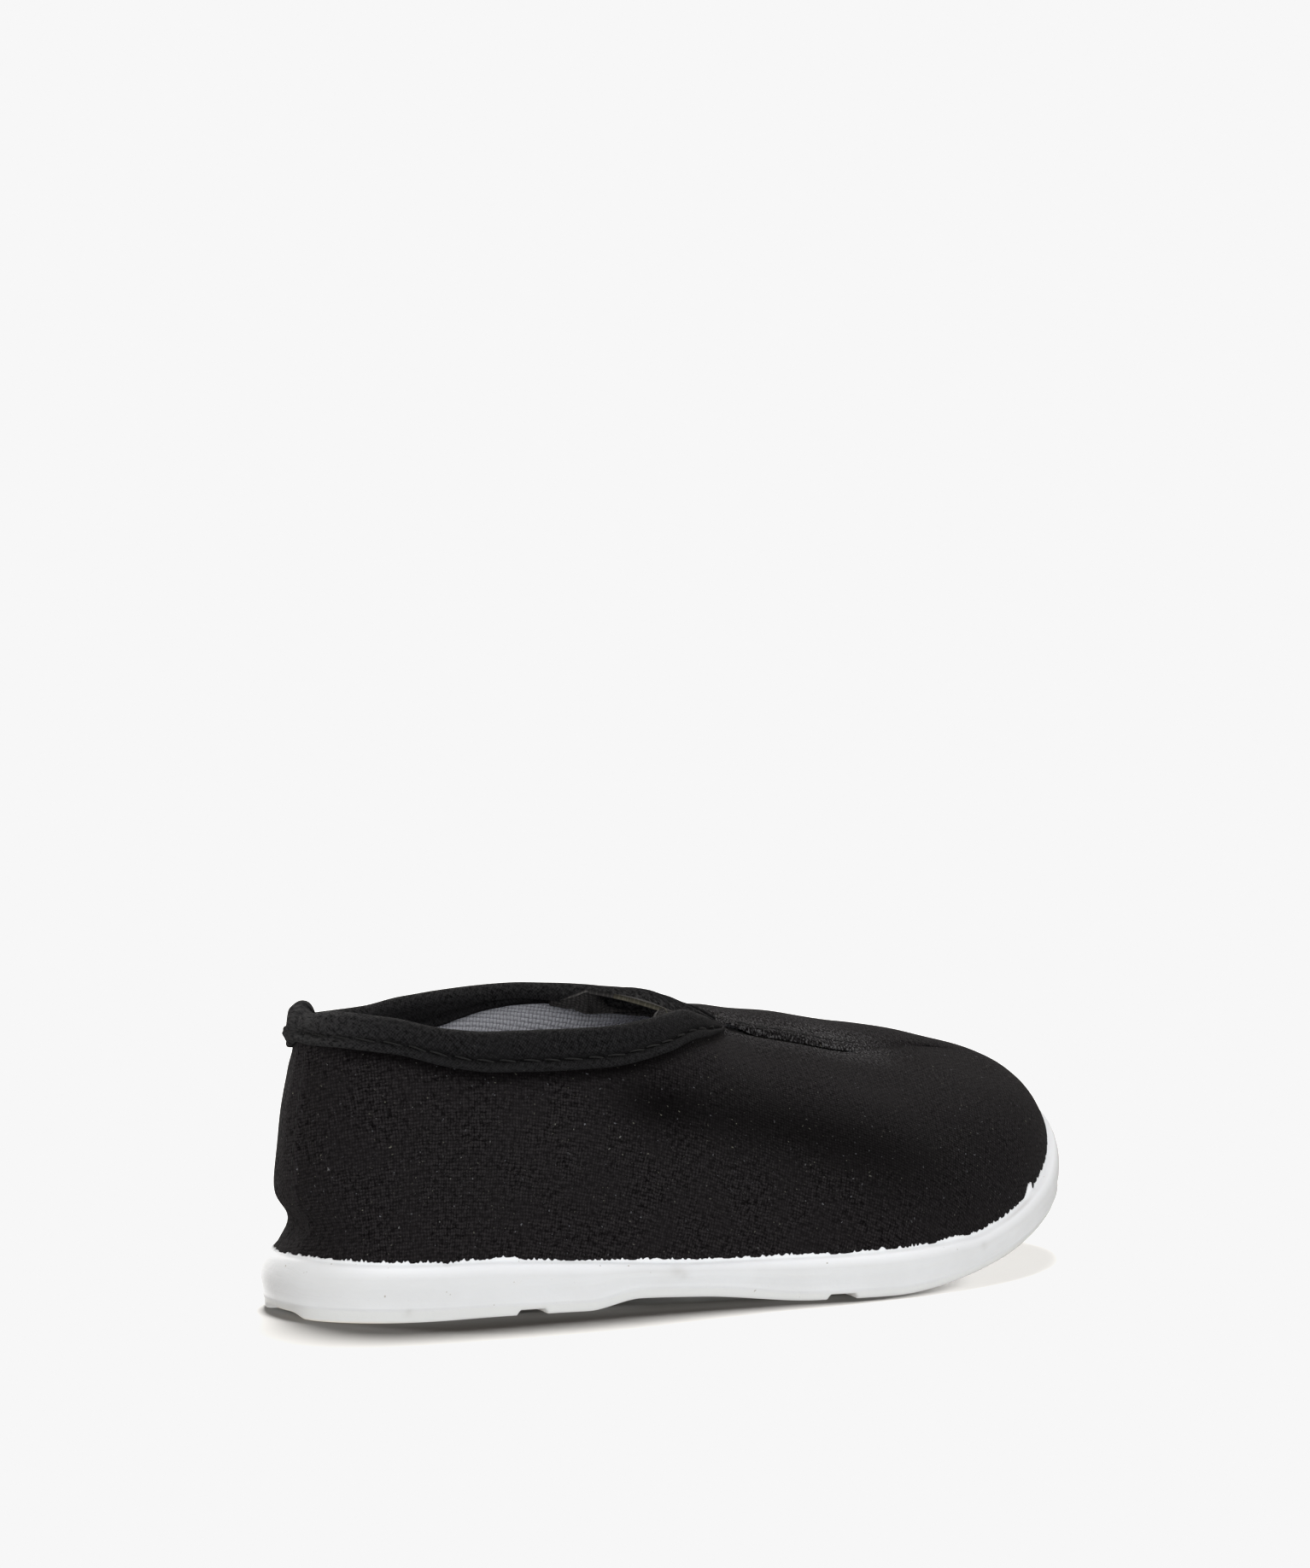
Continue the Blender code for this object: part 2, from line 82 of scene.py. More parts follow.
# Heights of the sole: tread, bead above the tread, top lip, and the seat that the upper stands on
SOLE = table(
    "share tread bead lip seat",
    (0.000, 1.2, 1.6, 10.6, 7.2),
    (0.003, 1.1, 1.7, 10.6, 7.1),
    (0.010, 0.1, 2.6, 10.6, 7.1),
    (0.020, 0.0, 2.7, 10.5, 7.0),
    (0.18, 0.0, 2.4, 9.9, 6.5),
    (0.30, 0.0, 2.1, 8.9, 6.0),
    (0.36, 1.8, 2.1, 8.3, 5.7),
    (0.43, 1.5, 2.1, 7.8, 5.3),
    (0.55, 0.0, 1.8, 7.9, 4.7),
    (0.65, 0.0, 1.8, 8.3, 4.6),
    (0.76, 0.0, 1.7, 8.8, 4.6),
    (0.80, 0.0, 1.7, 10.0, 4.6),
    (0.86, 0.0, 1.7, 12.7, 4.6),
    (0.93, 0.0, 1.7, 17.0, 4.6),
    (1.00, 0.0, 1.7, 25.9, 4.6),
)
TOE_SPRING = 12.7
SPRING_START = 0.64
SPRING_POWER = 1.57
TREAD_INSET = 6.0
TREAD_GROOVES = (0.240, 0.578)
GROOVE_WIDTH = 4.6
GROOVE_DRAFT = 0.6
GROOVE_DEPTH = 1.0
GROOVE_SHARES = (1.0, 0.9, 0.5)

# Side of the sole, from the tread up: how far each line lies inside the plan, the height it starts from,
# the share of the wall above the bead that it climbs, and a last step up or down
SIDE_LINES = table(
    "inset start climb step",
    (1.80, "tread", 0.00, 0.00),
    (1.12, "tread", 0.00, 0.12),
    (0.78, "tread", 0.00, 0.60),
    (0.60, "bead", 0.00, -0.60),
    (0.50, "bead", 0.00, -0.24),
    (0.32, "bead", 0.00, -0.02),
    (0.28, "bead", 0.00, 0.22),
    (0.37, "bead", 0.00, 0.48),
    (0.38, "bead", 0.12, 0.40),
    (0.05, "bead", 0.38, 0.00),
    (0.00, "bead", 0.52, 0.00),
    (0.15, "bead", 0.66, 0.00),
    (0.50, "bead", 0.80, 0.00),
    (0.95, "bead", 0.90, 0.00),
    (1.45, "lip", 0.00, -0.25),
)
FEATHER_INSET = 2.4

# Sections of the upper, from the heel round to the toe. Each is one curve from the feather edge to the rim,
# or to the middle line of the instep: its end, its belly above the feather edge and its crown below the end.
SECTION = "way top_x top_y top_z belly_out belly_up crown_fore crown_side crown_lift"
LATERAL_SECTIONS = table(
    SECTION,
    (0.000, -76.3, 0.0, 51.3, 1.2, 16.0, -3.4, 0.0, -15.0),
    (0.100, -73.6, -7.6, 52.4, 1.2, 16.0, -2.4, -1.9, -15.0),
    (0.200, -65.0, -13.6, 51.3, 1.6, 16.0, -0.6, -3.2, -15.0),
    (0.250, -57.0, -15.8, 49.4, 1.7, 16.5, -0.2, -3.6, -14.5),
    (0.300, -48.5, -17.4, 48.5, 1.8, 17.0, 0.0, -4.0, -14.0),
    (0.400, -27.0, -17.4, 48.2, 2.2, 19.0, 0.0, -7.0, -11.0),
    (0.450, -13.5, -14.0, 48.9, 2.4, 20.0, 0.0, -10.0, -8.0),
    (0.480, -6.4, -9.8, 49.4, 2.4, 20.6, 0.0, -12.4, -6.8),
    (0.500, -1.4, -6.8, 48.2, 2.4, 21.0, 0.0, -14.0, -6.0),
    (0.535, 9.2, 0.0, 45.2, 2.4, 21.0, 0.0, -18.0, -7.0),
    (0.600, 22.5, -0.2, 42.3, 2.2, 20.0, 0.0, -21.0, -9.0),
    (0.700, 37.0, 0.6, 39.4, 1.8, 18.0, 3.0, -21.0, -10.0),
    (0.850, 51.0, 5.0, 39.0, 1.6, 16.0, 15.4, -13.0, -8.6),
    (1.000, 57.0, 7.5, 38.3, 1.2, 14.6, 21.8, 2.0, -2.6),
)
MEDIAL_SECTIONS = table(
    SECTION,
    (0.000, -76.3, 0.0, 51.3, 1.2, 16.0, -3.4, 0.0, -15.0),
    (0.100, -73.6, 7.6, 50.6, 1.2, 16.0, -2.4, 1.9, -15.0),
    (0.200, -65.0, 13.6, 50.1, 1.6, 16.0, -0.6, 3.2, -15.0),
    (0.250, -57.0, 15.2, 50.4, 1.7, 16.5, -0.2, 3.4, -14.5),
    (0.300, -48.5, 16.4, 51.6, 1.8, 17.0, 0.0, 3.6, -14.0),
    (0.400, -27.0, 17.4, 52.8, 2.0, 19.0, 0.0, 5.0, -11.0),
    (0.450, -13.5, 14.8, 52.1, 2.0, 20.0, 0.0, 8.0, -6.0),
    (0.500, -1.8, 7.6, 49.8, 2.0, 22.0, 0.0, 12.0, 7.0),
    (0.535, 9.2, 0.0, 45.2, 2.0, 26.0, 0.0, 15.0, 18.6),
    (0.600, 22.5, -0.2, 42.3, 1.8, 26.0, 0.0, 17.0, 19.3),
    (0.700, 37.0, 0.6, 39.4, 1.6, 24.0, 3.0, 17.0, 16.2),
    (0.850, 51.0, 5.0, 39.0, 1.4, 18.0, 15.4, 11.0, 4.6),
    (1.000, 57.0, 7.5, 38.3, 1.2, 14.6, 21.8, 2.0, -2.6),
)
THROAT_WAY = 0.535
SLIT_END_WAY = 0.70

# Height of the binding below the rim, outside and inside, from the heel to the throat
RIM = "way height"
BINDING_HEIGHTS = table(
    RIM, (0.000, 3.4), (0.045, 4.4), (0.090, 4.8), (0.200, 4.9), (0.300, 5.7), (0.400, 6.3), (0.475, 6.3),
    (0.500, 5.2), (0.535, 0.9),
)
INNER_HEIGHTS = table(
    RIM, (0.000, 4.0), (0.300, 6.0), (0.340, 5.4), (0.372, 3.5), (0.405, 2.1), (0.430, 0.9), (0.535, 0.8),
)
BINDING_END_WAY = 0.528

# How finely the forms are drawn
UPPER_STEPS = 520
SOLE_STEPS = 800
SOCK_STEPS = 200
CURVE_STEPS = 160
WALL_ROWS = 52
EDGE_ROWS = 16
EDGE_BAND = 3.2
UNDER_LIP = 1.8
RIM_ROWS = 6
RELAX_ROUNDS = 60
NET_COLUMNS = 97
NET_ROWS = 13
NET_ROUNDS = 1500


def smooth(places, values, at):
    """A curve through the values that never overshoots them."""
    places = np.asarray(places, float)
    values = np.asarray(values, float)
    at = np.clip(np.asarray(at, float), places[0], places[-1])
    steps = np.diff(places)
    slopes = np.diff(values) / steps
    bends = np.zeros(len(places))
    bends[0] = slopes[0]
    bends[-1] = slopes[-1]
    for i in range(1, len(places) - 1):
        before, after = slopes[i - 1], slopes[i]
        if before * after > 0:
            bends[i] = 2 * before * after / (before + after)
    cell = np.clip(np.searchsorted(places, at) - 1, 0, len(steps) - 1)
    step = steps[cell]
    t = (at - places[cell]) / step
    start = (2 * t**3 - 3 * t**2 + 1) * values[cell] + (t**3 - 2 * t**2 + t) * step * bends[cell]
    end = (3 * t**2 - 2 * t**3) * values[cell + 1] + (t**3 - t**2) * step * bends[cell + 1]
    return start + end


def read(rows, name, at):
    """The named column of a table at a place along its first column."""
    return smooth([row[0] for row in rows], [getattr(row, name) for row in rows], at)


def bell(distance, width):
    """A soft bump of height one that fades over a width."""
    return np.exp(-((distance / width) ** 2))


def ramp(value, start, end):
    """Zero before the start, one after the end, and an even rise between them."""
    t = np.clip((value - start) / (end - start), 0, 1)
    return t * t * (3 - 2 * t)


def power_rise(share, start, power):
    """Zero up to the start, then a rise to one by a power."""
    return np.clip((share - start) / (1 - start), 0, 1) ** power


def unit(vectors):
    """Vectors brought to length one."""
    return vectors / np.maximum(np.linalg.norm(vectors, axis=-1, keepdims=True), 1e-12)


def travelled(points, axis):
    """Length along one axis of a grid of points, from zero at its start."""
    steps = np.diff(points, axis=axis, prepend=points.take([0], axis))
    return np.cumsum(np.linalg.norm(steps, axis=-1), axis=axis)


def on_line(at, lengths, points):
    """Points of a drawn line at lengths along it."""
    return np.stack([np.interp(at, lengths, values) for values in points.T], axis=-1)


def closed_spline(points, parts):
    """A closed smooth curve through rows of points, with so many parts between neighbours."""
    before, after, later = (np.roll(points, step, axis=1) for step in (1, -1, -2))
    first = after - before
    second = 2 * before - 5 * points + 4 * after - later
    third = 3 * points - before - 3 * after + later
    rows = [0.5 * (2 * points + first * t + second * t**2 + third * t**3) for t in np.arange(parts) / parts]
    return np.stack(rows, axis=2).reshape(points.shape[0], -1, points.shape[2])


class Ripple:
    """Even, repeatable irregularity: a sum of waves in random directions."""

    def __init__(self, seed, longest, shortest, waves=14):
        chance = np.random.default_rng(seed)
        direction = unit(chance.normal(size=(waves, 3)))
        length = np.exp(chance.uniform(math.log(shortest), math.log(longest), waves))
        self.waves = direction * (2 * math.pi / length)[:, None]
        self.phases = chance.uniform(0, 2 * math.pi, waves)

    def __call__(self, points):
        return np.sin(points @ self.waves.T + self.phases).mean(axis=-1) * 2


def grid(*shape):
    """Point numbers of a grid."""
    return np.arange(math.prod(shape)).reshape(shape)


def quads(numbers, closed):
    """Quads of a grid of point numbers, closed round its second axis if asked."""
    after = np.roll(numbers, -1, axis=1)
    if not closed:
        numbers, after = numbers[:, :-1], after[:, :-1]
    return np.stack([numbers[:-1], after[:-1], after[1:], numbers[1:]], axis=-1).reshape(-1, 4)


def cap(ring):
    """Quads that close a ring of point numbers, from its first point to the opposite one."""
    k = np.arange(len(ring) // 2)
    return np.stack([ring[k], ring[k + 1], ring[-k - 1], ring[-k]], axis=-1)


def join(parts):
    """One mesh from several: points, faces and any further values on points."""
    points, faces, *marks = zip(*parts)
    starts = np.cumsum([0] + [len(part) for part in points[:-1]])
    faces = [part + start for part, start in zip(faces, starts)]
    return [np.concatenate(values) for values in (points, faces, *marks)]


def point_normals(points, faces):
    """Mean directions of the quads round each point."""
    normal = np.cross(points[faces[:, 2]] - points[faces[:, 0]], points[faces[:, 3]] - points[faces[:, 1]])
    normals = np.zeros_like(points)
    for corner in range(4):
        np.add.at(normals, faces[:, corner], normal)
    return unit(normals)


Loop = namedtuple("Loop", "way lateral plan outward along tread bead lip seat")


def make_loop(steps):
    """The plan of the sole as a loop of columns from the heel, with the heights of the sole at each."""
    half = np.linspace(0, 1, steps + 1)
    way = np.concatenate([half, half[-2:0:-1]])
    lateral = np.arange(len(way)) <= steps
    share = (1 - np.cos(np.pi * way)) / 2
    heel = (1 - np.clip(1 - share / HEEL_ROUND_SHARE, 0, 1) ** HEEL_ROUND_POWER) ** (1 / HEEL_ROUND_POWER)
    past = np.clip((share - 1 + TOE_ROUND_SHARE) / TOE_ROUND_SHARE, 0, 1)
    toe = (1 - past**TOE_ROUND_POWER) ** (1 / TOE_ROUND_POWER)
    width = np.where(lateral, -read(OUTLINE, "lateral", share), read(OUTLINE, "medial", share))
    swing = SWING * power_rise(share, SWING_START, SWING_POWER)
    plan = np.stack([LENGTH * (share - 0.5), swing + width * heel * toe], axis=1)
    ahead = unit(np.roll(plan, -1, axis=0) - np.roll(plan, 1, axis=0))
    outward = np.column_stack([ahead[:, 1], -ahead[:, 0], np.zeros(len(way))])
    spring = TOE_SPRING * power_rise(share, SPRING_START, SPRING_POWER)
    tread = read(SOLE, "tread", share) + spring
    bead = tread + read(SOLE, "bead", share)
    seat = read(SOLE, "seat", share) + spring
    return Loop(way, lateral, plan, outward, travelled(plan, 0), tread, bead, read(SOLE, "lip", share), seat)


PLAN_Y = make_loop(UPPER_STEPS).plan[:, 1]
MIDDLE_Y = np.ptp(PLAN_Y) / 2 + PLAN_Y.min()


def inside(loop, inset, height):
    """The plan drawn in by an inset, at a height."""
    return np.column_stack([loop.plan, height]) - inset * loop.outward


def back_distance(loop):
    """Length along the plan from the middle of the heel, on either side."""
    return np.minimum(loop.along, loop.along[-1] - loop.along)


def upper_paths(loop):
    """Fine points up every column of the upper, from feather edge to rim, and the length up to each."""

    def value(name):
        near = read(LATERAL_SECTIONS, name, loop.way)
        return np.where(loop.lateral, near, read(MEDIAL_SECTIONS, name, loop.way))

    base = inside(loop, FEATHER_INSET, loop.seat + GAP)
    belly = base + loop.outward * value("belly_out")[:, None]
    belly[:, 2] += value("belly_up")
    top = np.column_stack([value("top_x"), value("top_y"), value("top_z")])
    crown = top + np.column_stack([value("crown_fore"), value("crown_side"), value("crown_lift")])
    t = np.linspace(0, 1, CURVE_STEPS + 1)[None, :, None]
    base, belly, crown, top = (points[:, None, :] for points in (base, belly, crown, top))
    path = (1 - t) ** 3 * base + 3 * t * (1 - t) ** 2 * belly + 3 * t**2 * (1 - t) * crown + t**3 * top
    return path, travelled(path, 1)


# Forms of the wall: the dent above the heel and the strip sewn over the back seam
HEEL_DENT_DEPTH = 4.3
HEEL_DENT_HEIGHT = 15.4
HEEL_DENT_SPREAD = 3.4
HEEL_DENT_WAY = 0.13
STRIP_HALF = 4.6
STRIP_RAISE = 0.25
STRIP_EDGE = 0.5
STRIP_EDGE_DEPTH = 0.12
STRIP_SEAM_IN = 1.3
STRIP_SEAM_DEPTH = 0.08
STRIP_SEAM_WIDTH = 0.4
# Painted sheen that makes the back strip paler than the wall
STRIP_SHEEN = 0.6

# Bands over which the wall gets free of the sole's lip and of the rim
FREE_BAND = 3.0
LIP_BAND = 1.2
RIM_BAND = 4.0
RELAX_BAND = (1.5, 6.0)

# Soft forms of the lateral wall: a middle, a slope, a half length, a half width and an amount
PATCH = "x z slope length width amount"
CREASES = table(
    PATCH,
    (-18.0, 35.0, -0.24, 9.0, 4.5, 0.5),
    (4.0, 30.0, -0.24, 20.0, 5.5, 0.5),
    (-38.0, 33.0, 0.10, 12.0, 5.0, -0.35),
    (-52.0, 24.0, -0.30, 10.0, 4.0, 0.3),
    (-25.0, 20.0, 0.25, 14.0, 5.0, 0.25),
    (48.0, 22.0, -0.50, 10.0, 5.0, 0.25),
)
# Patches of painted shade, and one of painted light, on the lateral wall of the canvas
LIGHT_AND_SHADE_PATCHES = table(
    PATCH,
    (-18.0, 35.5, -0.24, 9.0, 5.0, -0.68),
    (4.0, 31.0, -0.24, 18.0, 5.5, -0.68),
    (26.0, 25.5, -0.24, 12.0, 7.0, -0.34),
    (42.0, 18.0, -0.20, 30.0, 14.0, -0.32),
    (64.0, 24.0, -0.20, 14.0, 12.0, -0.14),
    (-42.0, 30.0, 0.0, 12.0, 6.0, 0.10),
)
LUMPS = Ripple(seed=3, longest=30.0, shortest=9.0)
LUMP_HEIGHT = 0.16

# Hollow of the canvas under the tape's lower edge, with painted shade in it
HOLLOW_BELOW = 0.6
HOLLOW_WIDTH = 1.5
HOLLOW_DEPTH = 0.7
HOLLOW_SHADE = -0.75
HOLLOW_WAYS = (0.04, 0.16)

# Slit over the instep, with painted shade along it
SLIT_GAP = 0.52
SLIT_GAP_BAND = 1.0
SLIT_DEPTH = 1.3
SLIT_DEPTH_BAND = 0.3
SLIT_DEPTH_WAY = 0.03
SLIT_POWER = 0.6
SLIT_FAR_LIP = 1.0
SLIT_NEAR_LIP = -0.35
SLIT_LIP_BAND = 1.3
SLIT_RAG = Ripple(seed=14, longest=6.0, shortest=1.6, waves=18)
SLIT_WANDER = 0.35
SLIT_SHADE = -0.95
SLIT_SHADE_BAND = 0.9

Wall = namedtuple("Wall", "loop points normals below arc numbers dust")


def wall_numbers(way, lateral, rows):
    """Point numbers of a wall's grid. In front of the slit both sides share the middle line."""
    numbers = grid(len(way), rows)
    joined = np.nonzero(~lateral & (way >= SLIT_END_WAY))[0]
    numbers[joined, -1] = numbers[len(way) - joined, -1]
    return numbers


def wall_normals(points, numbers):
    """Directions out of a wall at the points of its grid."""
    return point_normals(points.reshape(-1, 3), quads(numbers.T, closed=True))[numbers]


def lip_length(loop, path, reach):
    """Length up each column to where the lip of the sole meets it."""
    low = CURVE_STEPS // 3
    return np.array([np.interp(h, p[:low, 2], r[:low]) for h, p, r in zip(loop.lip, path, reach)])


def row_below(loop, path, reach):
    """How far below the end of its column each row of the upper lies."""
    start = reach[:, -1] - lip_length(loop, path, reach) + UNDER_LIP
    wall = np.linspace(1, 0, WALL_ROWS, endpoint=False)[None, :] * (start - EDGE_BAND)[:, None] + EDGE_BAND
    edge = np.linspace(EDGE_BAND, 0, EDGE_ROWS)
    return np.concatenate([wall, np.broadcast_to(edge, (len(start), EDGE_ROWS))], axis=1)


def patches(rows, points, lateral):
    """Sum of soft patches at points of the lateral wall."""
    total = np.zeros(points.shape[:2])
    for patch in rows:
        turn = math.hypot(1.0, patch.slope)
        ahead = points[:, :, 0] - patch.x
        above = points[:, :, 2] - patch.z
        along = (ahead + above * patch.slope) / turn
        across = (above - ahead * patch.slope) / turn
        total += patch.amount * bell(along, patch.length) * bell(across, patch.width)
    return total * lateral[:, None]


def relax(points, numbers, weight):
    """A wall drawn in and out towards the middle of its neighbours, so that its sections flow together."""
    faces = quads(numbers.T, closed=True)
    corners = faces.ravel()
    flat = points.reshape(-1, 3)
    share = weight.reshape(-1)
    count = np.maximum(np.bincount(corners, minlength=len(flat)), 1)[:, None]
    normals = point_normals(flat, faces)
    for _ in range(RELAX_ROUNDS):
        middles = flat[faces].mean(axis=1).repeat(4, axis=0)
        mean = np.stack([np.bincount(corners, values, len(flat)) for values in middles.T], axis=-1) / count
        step = ((mean - flat) * normals).sum(axis=1) * share
        flat = flat + normals * step[:, None]
    return flat[numbers]


def slit_open(way):
    """One at the tip of the V, falling to nothing where the slit ends."""
    left = np.clip((SLIT_END_WAY - way) / (SLIT_END_WAY - THROAT_WAY), 0, 1)
    return np.where(way < THROAT_WAY, 0.0, left**SLIT_POWER)


def make_wall(loop):
    """The outer face of the upper with its dents, seams, creases and slit, and a mark of painted light and
    shade on it.
    """
    path, reach = upper_paths(loop)
    below = row_below(loop, path, reach)
    points = np.stack([on_line(*column) for column in zip(reach[:, -1:] - below, reach, path)])
    numbers = wall_numbers(loop.way, loop.lateral, points.shape[1])
    free = ramp(points[:, :, 2] - loop.lip[:, None], 0.0, FREE_BAND)
    points = relax(points, numbers, free * ramp(below, *RELAX_BAND))
    normals = wall_normals(points, numbers)
    arc = travelled(points, 0)
    total = arc[-1] + np.linalg.norm(points[0] - points[-1], axis=1)
    arc[len(loop.way) // 2 :] -= total

    way = loop.way[:, None]
    height = points[:, :, 2]
    seam = back_distance(loop)[:, None]
    strip = ramp(seam, STRIP_HALF + STRIP_EDGE, STRIP_HALF - STRIP_EDGE)
    sewn = STRIP_EDGE_DEPTH * bell(seam - STRIP_HALF - STRIP_EDGE, STRIP_EDGE)
    sewn += STRIP_SEAM_DEPTH * bell(seam - STRIP_HALF + STRIP_SEAM_IN, STRIP_SEAM_WIDTH)
    dent = HEEL_DENT_DEPTH * bell(height - HEEL_DENT_HEIGHT, HEEL_DENT_SPREAD) * bell(way, HEEL_DENT_WAY)
    move = (STRIP_RAISE * strip - sewn - dent) * ramp(height - loop.lip[:, None], 0.0, LIP_BAND)
    points = points + loop.outward[:, None, :] * move[:, :, None]

    hem = read(BINDING_HEIGHTS, "height", np.minimum(way, THROAT_WAY))
    hollow = np.where(way < THROAT_WAY, bell(below - hem - HOLLOW_BELOW, HOLLOW_WIDTH), 0.0)
    hollow *= ramp(way, *HOLLOW_WAYS)
    move = LUMP_HEIGHT * LUMPS(points) - patches(CREASES, points, loop.lateral) - HOLLOW_DEPTH * hollow
    points = points + normals * (move * free * ramp(below, 0.0, RIM_BAND))[:, :, None]

    slit = slit_open(way)
    lift = np.where(loop.lateral[:, None], SLIT_NEAR_LIP, SLIT_FAR_LIP) * bell(below, SLIT_LIP_BAND) * slit
    tuck = SLIT_DEPTH * bell(below, SLIT_DEPTH_BAND) * slit
    tuck *= ramp(way, THROAT_WAY, THROAT_WAY + SLIT_DEPTH_WAY)
    spread = np.where(loop.lateral, -1.0, 1.0)[:, None] * SLIT_GAP * slit * bell(below, SLIT_GAP_BAND)
    rag = SLIT_RAG(points * np.array([1.0, 0.0, 0.0]))
    points[:, :, 1] += spread * (1 + rag) + SLIT_WANDER * rag * slit * bell(below, SLIT_LIP_BAND)
    points[:, :, 2] += lift - tuck
    # Painted light and shade: darker patches on the lateral wall, under the tape and along the slit, and
    # painted sheen on the back strip
    dust = 1.0 + patches(LIGHT_AND_SHADE_PATCHES, points, loop.lateral) + HOLLOW_SHADE * hollow
    dust += STRIP_SHEEN * strip + SLIT_SHADE * bell(below, SLIT_SHADE_BAND) * slit
    return Wall(loop, points, wall_normals(points, numbers), below, arc, numbers, dust)


def on_wall(wall, column, below, out):
    """Points below the rim of one column, standing out from the wall. Above the rim, below is negative."""
    below = np.asarray(below, float)
    depths = wall.below[column][::-1]
    points = wall.points[column][::-1]
    at = np.clip(below, 0, depths[-1])
    stand = on_line(at, depths, wall.normals[column][::-1]) * np.asarray(out)[..., None]
    up = unit(points[0] - points[RIM_ROWS])
    return on_line(at, depths, points) + stand + up * np.maximum(-below, 0)[:, None]


def flat_cloth(wall):
    """The wall laid flat as the cloth was cut: a coarse net opened at the rim and relaxed to its lengths."""
    plan = wall.loop.plan
    every_column = np.arange(len(plan))
    every_row = np.arange(wall.points.shape[1])
    columns = np.linspace(0, len(plan), NET_COLUMNS).astype(int)
    rows = np.linspace(0, every_row[-1], NET_ROWS).astype(int)
    net = wall.points[columns % len(plan)][:, rows]
    away = unit((plan - plan.mean(axis=0)) / np.ptp(plan, axis=0) ** 2)[columns % len(plan)]
    from_top = travelled(net[:, ::-1], 1)[:, ::-1]
    flat = (net[:, -1:, :2] + away[:, None, :] * from_top[:, :, None]).reshape(-1, 2)
    net = net.reshape(-1, 3)
    place = grid(len(columns), len(rows))
    neighbours = (
        (place[:-1], place[1:]),
        (place[:, :-1], place[:, 1:]),
        (place[:-1, :-1], place[1:, 1:]),
        (place[1:, :-1], place[:-1, 1:]),
    )
    first, second = np.concatenate([np.stack(pair, axis=-1).reshape(-1, 2) for pair in neighbours]).T
    true = np.linalg.norm(net[first] - net[second], axis=1)
    count = np.bincount(np.concatenate([first, second]), minlength=len(flat))
    for _ in range(NET_ROUNDS):
        gap = flat[second] - flat[first]
        now = np.maximum(np.linalg.norm(gap, axis=1), 1e-6)
        pull = gap * ((now - true) / now / 2)[:, None]
        move = np.zeros_like(flat)
        np.add.at(move, first, pull)
        np.add.at(move, second, -pull)
        flat += move / count[:, None]
    flat = flat.reshape(len(columns), len(rows), 2)
    fine = np.stack([on_line(every_row, rows, line) for line in flat])
    return np.stack([on_line(every_column, columns, fine[:, row]) for row in every_row], axis=1)


# Meshes


def make_piece(name, points, faces, materials, slots=None, uv=None, marks=None):
    """One named piece from points in millimetres, with its cloth as uv and its marks as values on points."""
    mesh = bpy.data.meshes.new(name)
    place = (np.asarray(points, float) - np.array([0.0, MIDDLE_Y, 0.0])) * METRES
    faces = [tuple(dict.fromkeys(face)) for face in np.asarray(faces).tolist()]
    mesh.from_pydata(place.tolist(), [], faces)
    for material in materials:
        mesh.materials.append(material)
    if slots is not None:
        mesh.polygons.foreach_set("material_index", np.asarray(slots, np.int32))
    corners = np.zeros(len(mesh.loops), np.int32)
    mesh.loops.foreach_get("vertex_index", corners)
    if uv is not None:
        layer = mesh.uv_layers.new(name="cloth")
        layer.data.foreach_set("uv", np.asarray(uv, np.float32)[corners].ravel())
    for mark, values in (marks or {}).items():
        layer = mesh.attributes.new(mark, "FLOAT", "POINT")
        layer.data.foreach_set("value", np.asarray(values, np.float32).ravel())
    mesh.validate()
    mesh.shade_smooth()
    piece = bpy.data.objects.new(name, mesh)
    bpy.context.scene.collection.objects.link(piece)
    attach(piece, "root")
    return piece


# Materials

# Dark and light threads of each cloth, then the colours of wear, lint and marks, painted highlight and shade
CANVAS_SHADES = ((0.0013, 0.0009, 0.0011, 1), (0.0222, 0.0203, 0.0214, 1))
TAPE_SHADES = ((0.0010, 0.0010, 0.0011, 1), (0.0174, 0.0173, 0.0183, 1))
LINING_SHADES = ((0.282, 0.284, 0.317, 1), (0.550, 0.562, 0.612, 1))
SOCK_SHADES = ((0.15, 0.15, 0.17, 1), (0.50, 0.505, 0.55, 1))
ELASTIC_SHADES = ((0.021, 0.0203, 0.0203, 1), (0.066, 0.063, 0.062, 1))
HEM_SHADES = ((0.046, 0.043, 0.033, 1), (0.108, 0.102, 0.080, 1))
THREAD_SHADES = ((0.006, 0.006, 0.006, 1), (0.026, 0.026, 0.026, 1))
CANVAS_WORN = (0.098, 0.097, 0.100, 1)
CANVAS_LINT = ((0.130, 0.130, 0.108, 1), (0.130, 0.132, 0.146, 1))
TAPE_WORN = (0.095, 0.094, 0.094, 1)
TAPE_LINT = (0.0721, 0.0700, 0.0679, 1)
RUBBER_SHADES = ((0.676, 0.693, 0.710, 1), (0.644, 0.659, 0.671, 1))
RUBBER_STREAK = (0.66, 0.67, 0.668, 1)
RUBBER_SPECK = (0.40, 0.38, 0.35, 1)
RUBBER_MARKS = {
    "low": (0.645, 0.660, 0.653, 1),
    # Painted highlight along the top of the sole, where it faces the light
    "lip": (0.862, 0.886, 0.918, 1),
    "cream": (0.90, 0.83, 0.70, 1),
    # Smudges, and painted shade in the crease at the toe
    "smudge_and_crease_shade": (0.46, 0.46, 0.45, 1),
}
LINING_PITCH = 0.74
SOCK_PITCH = 0.9


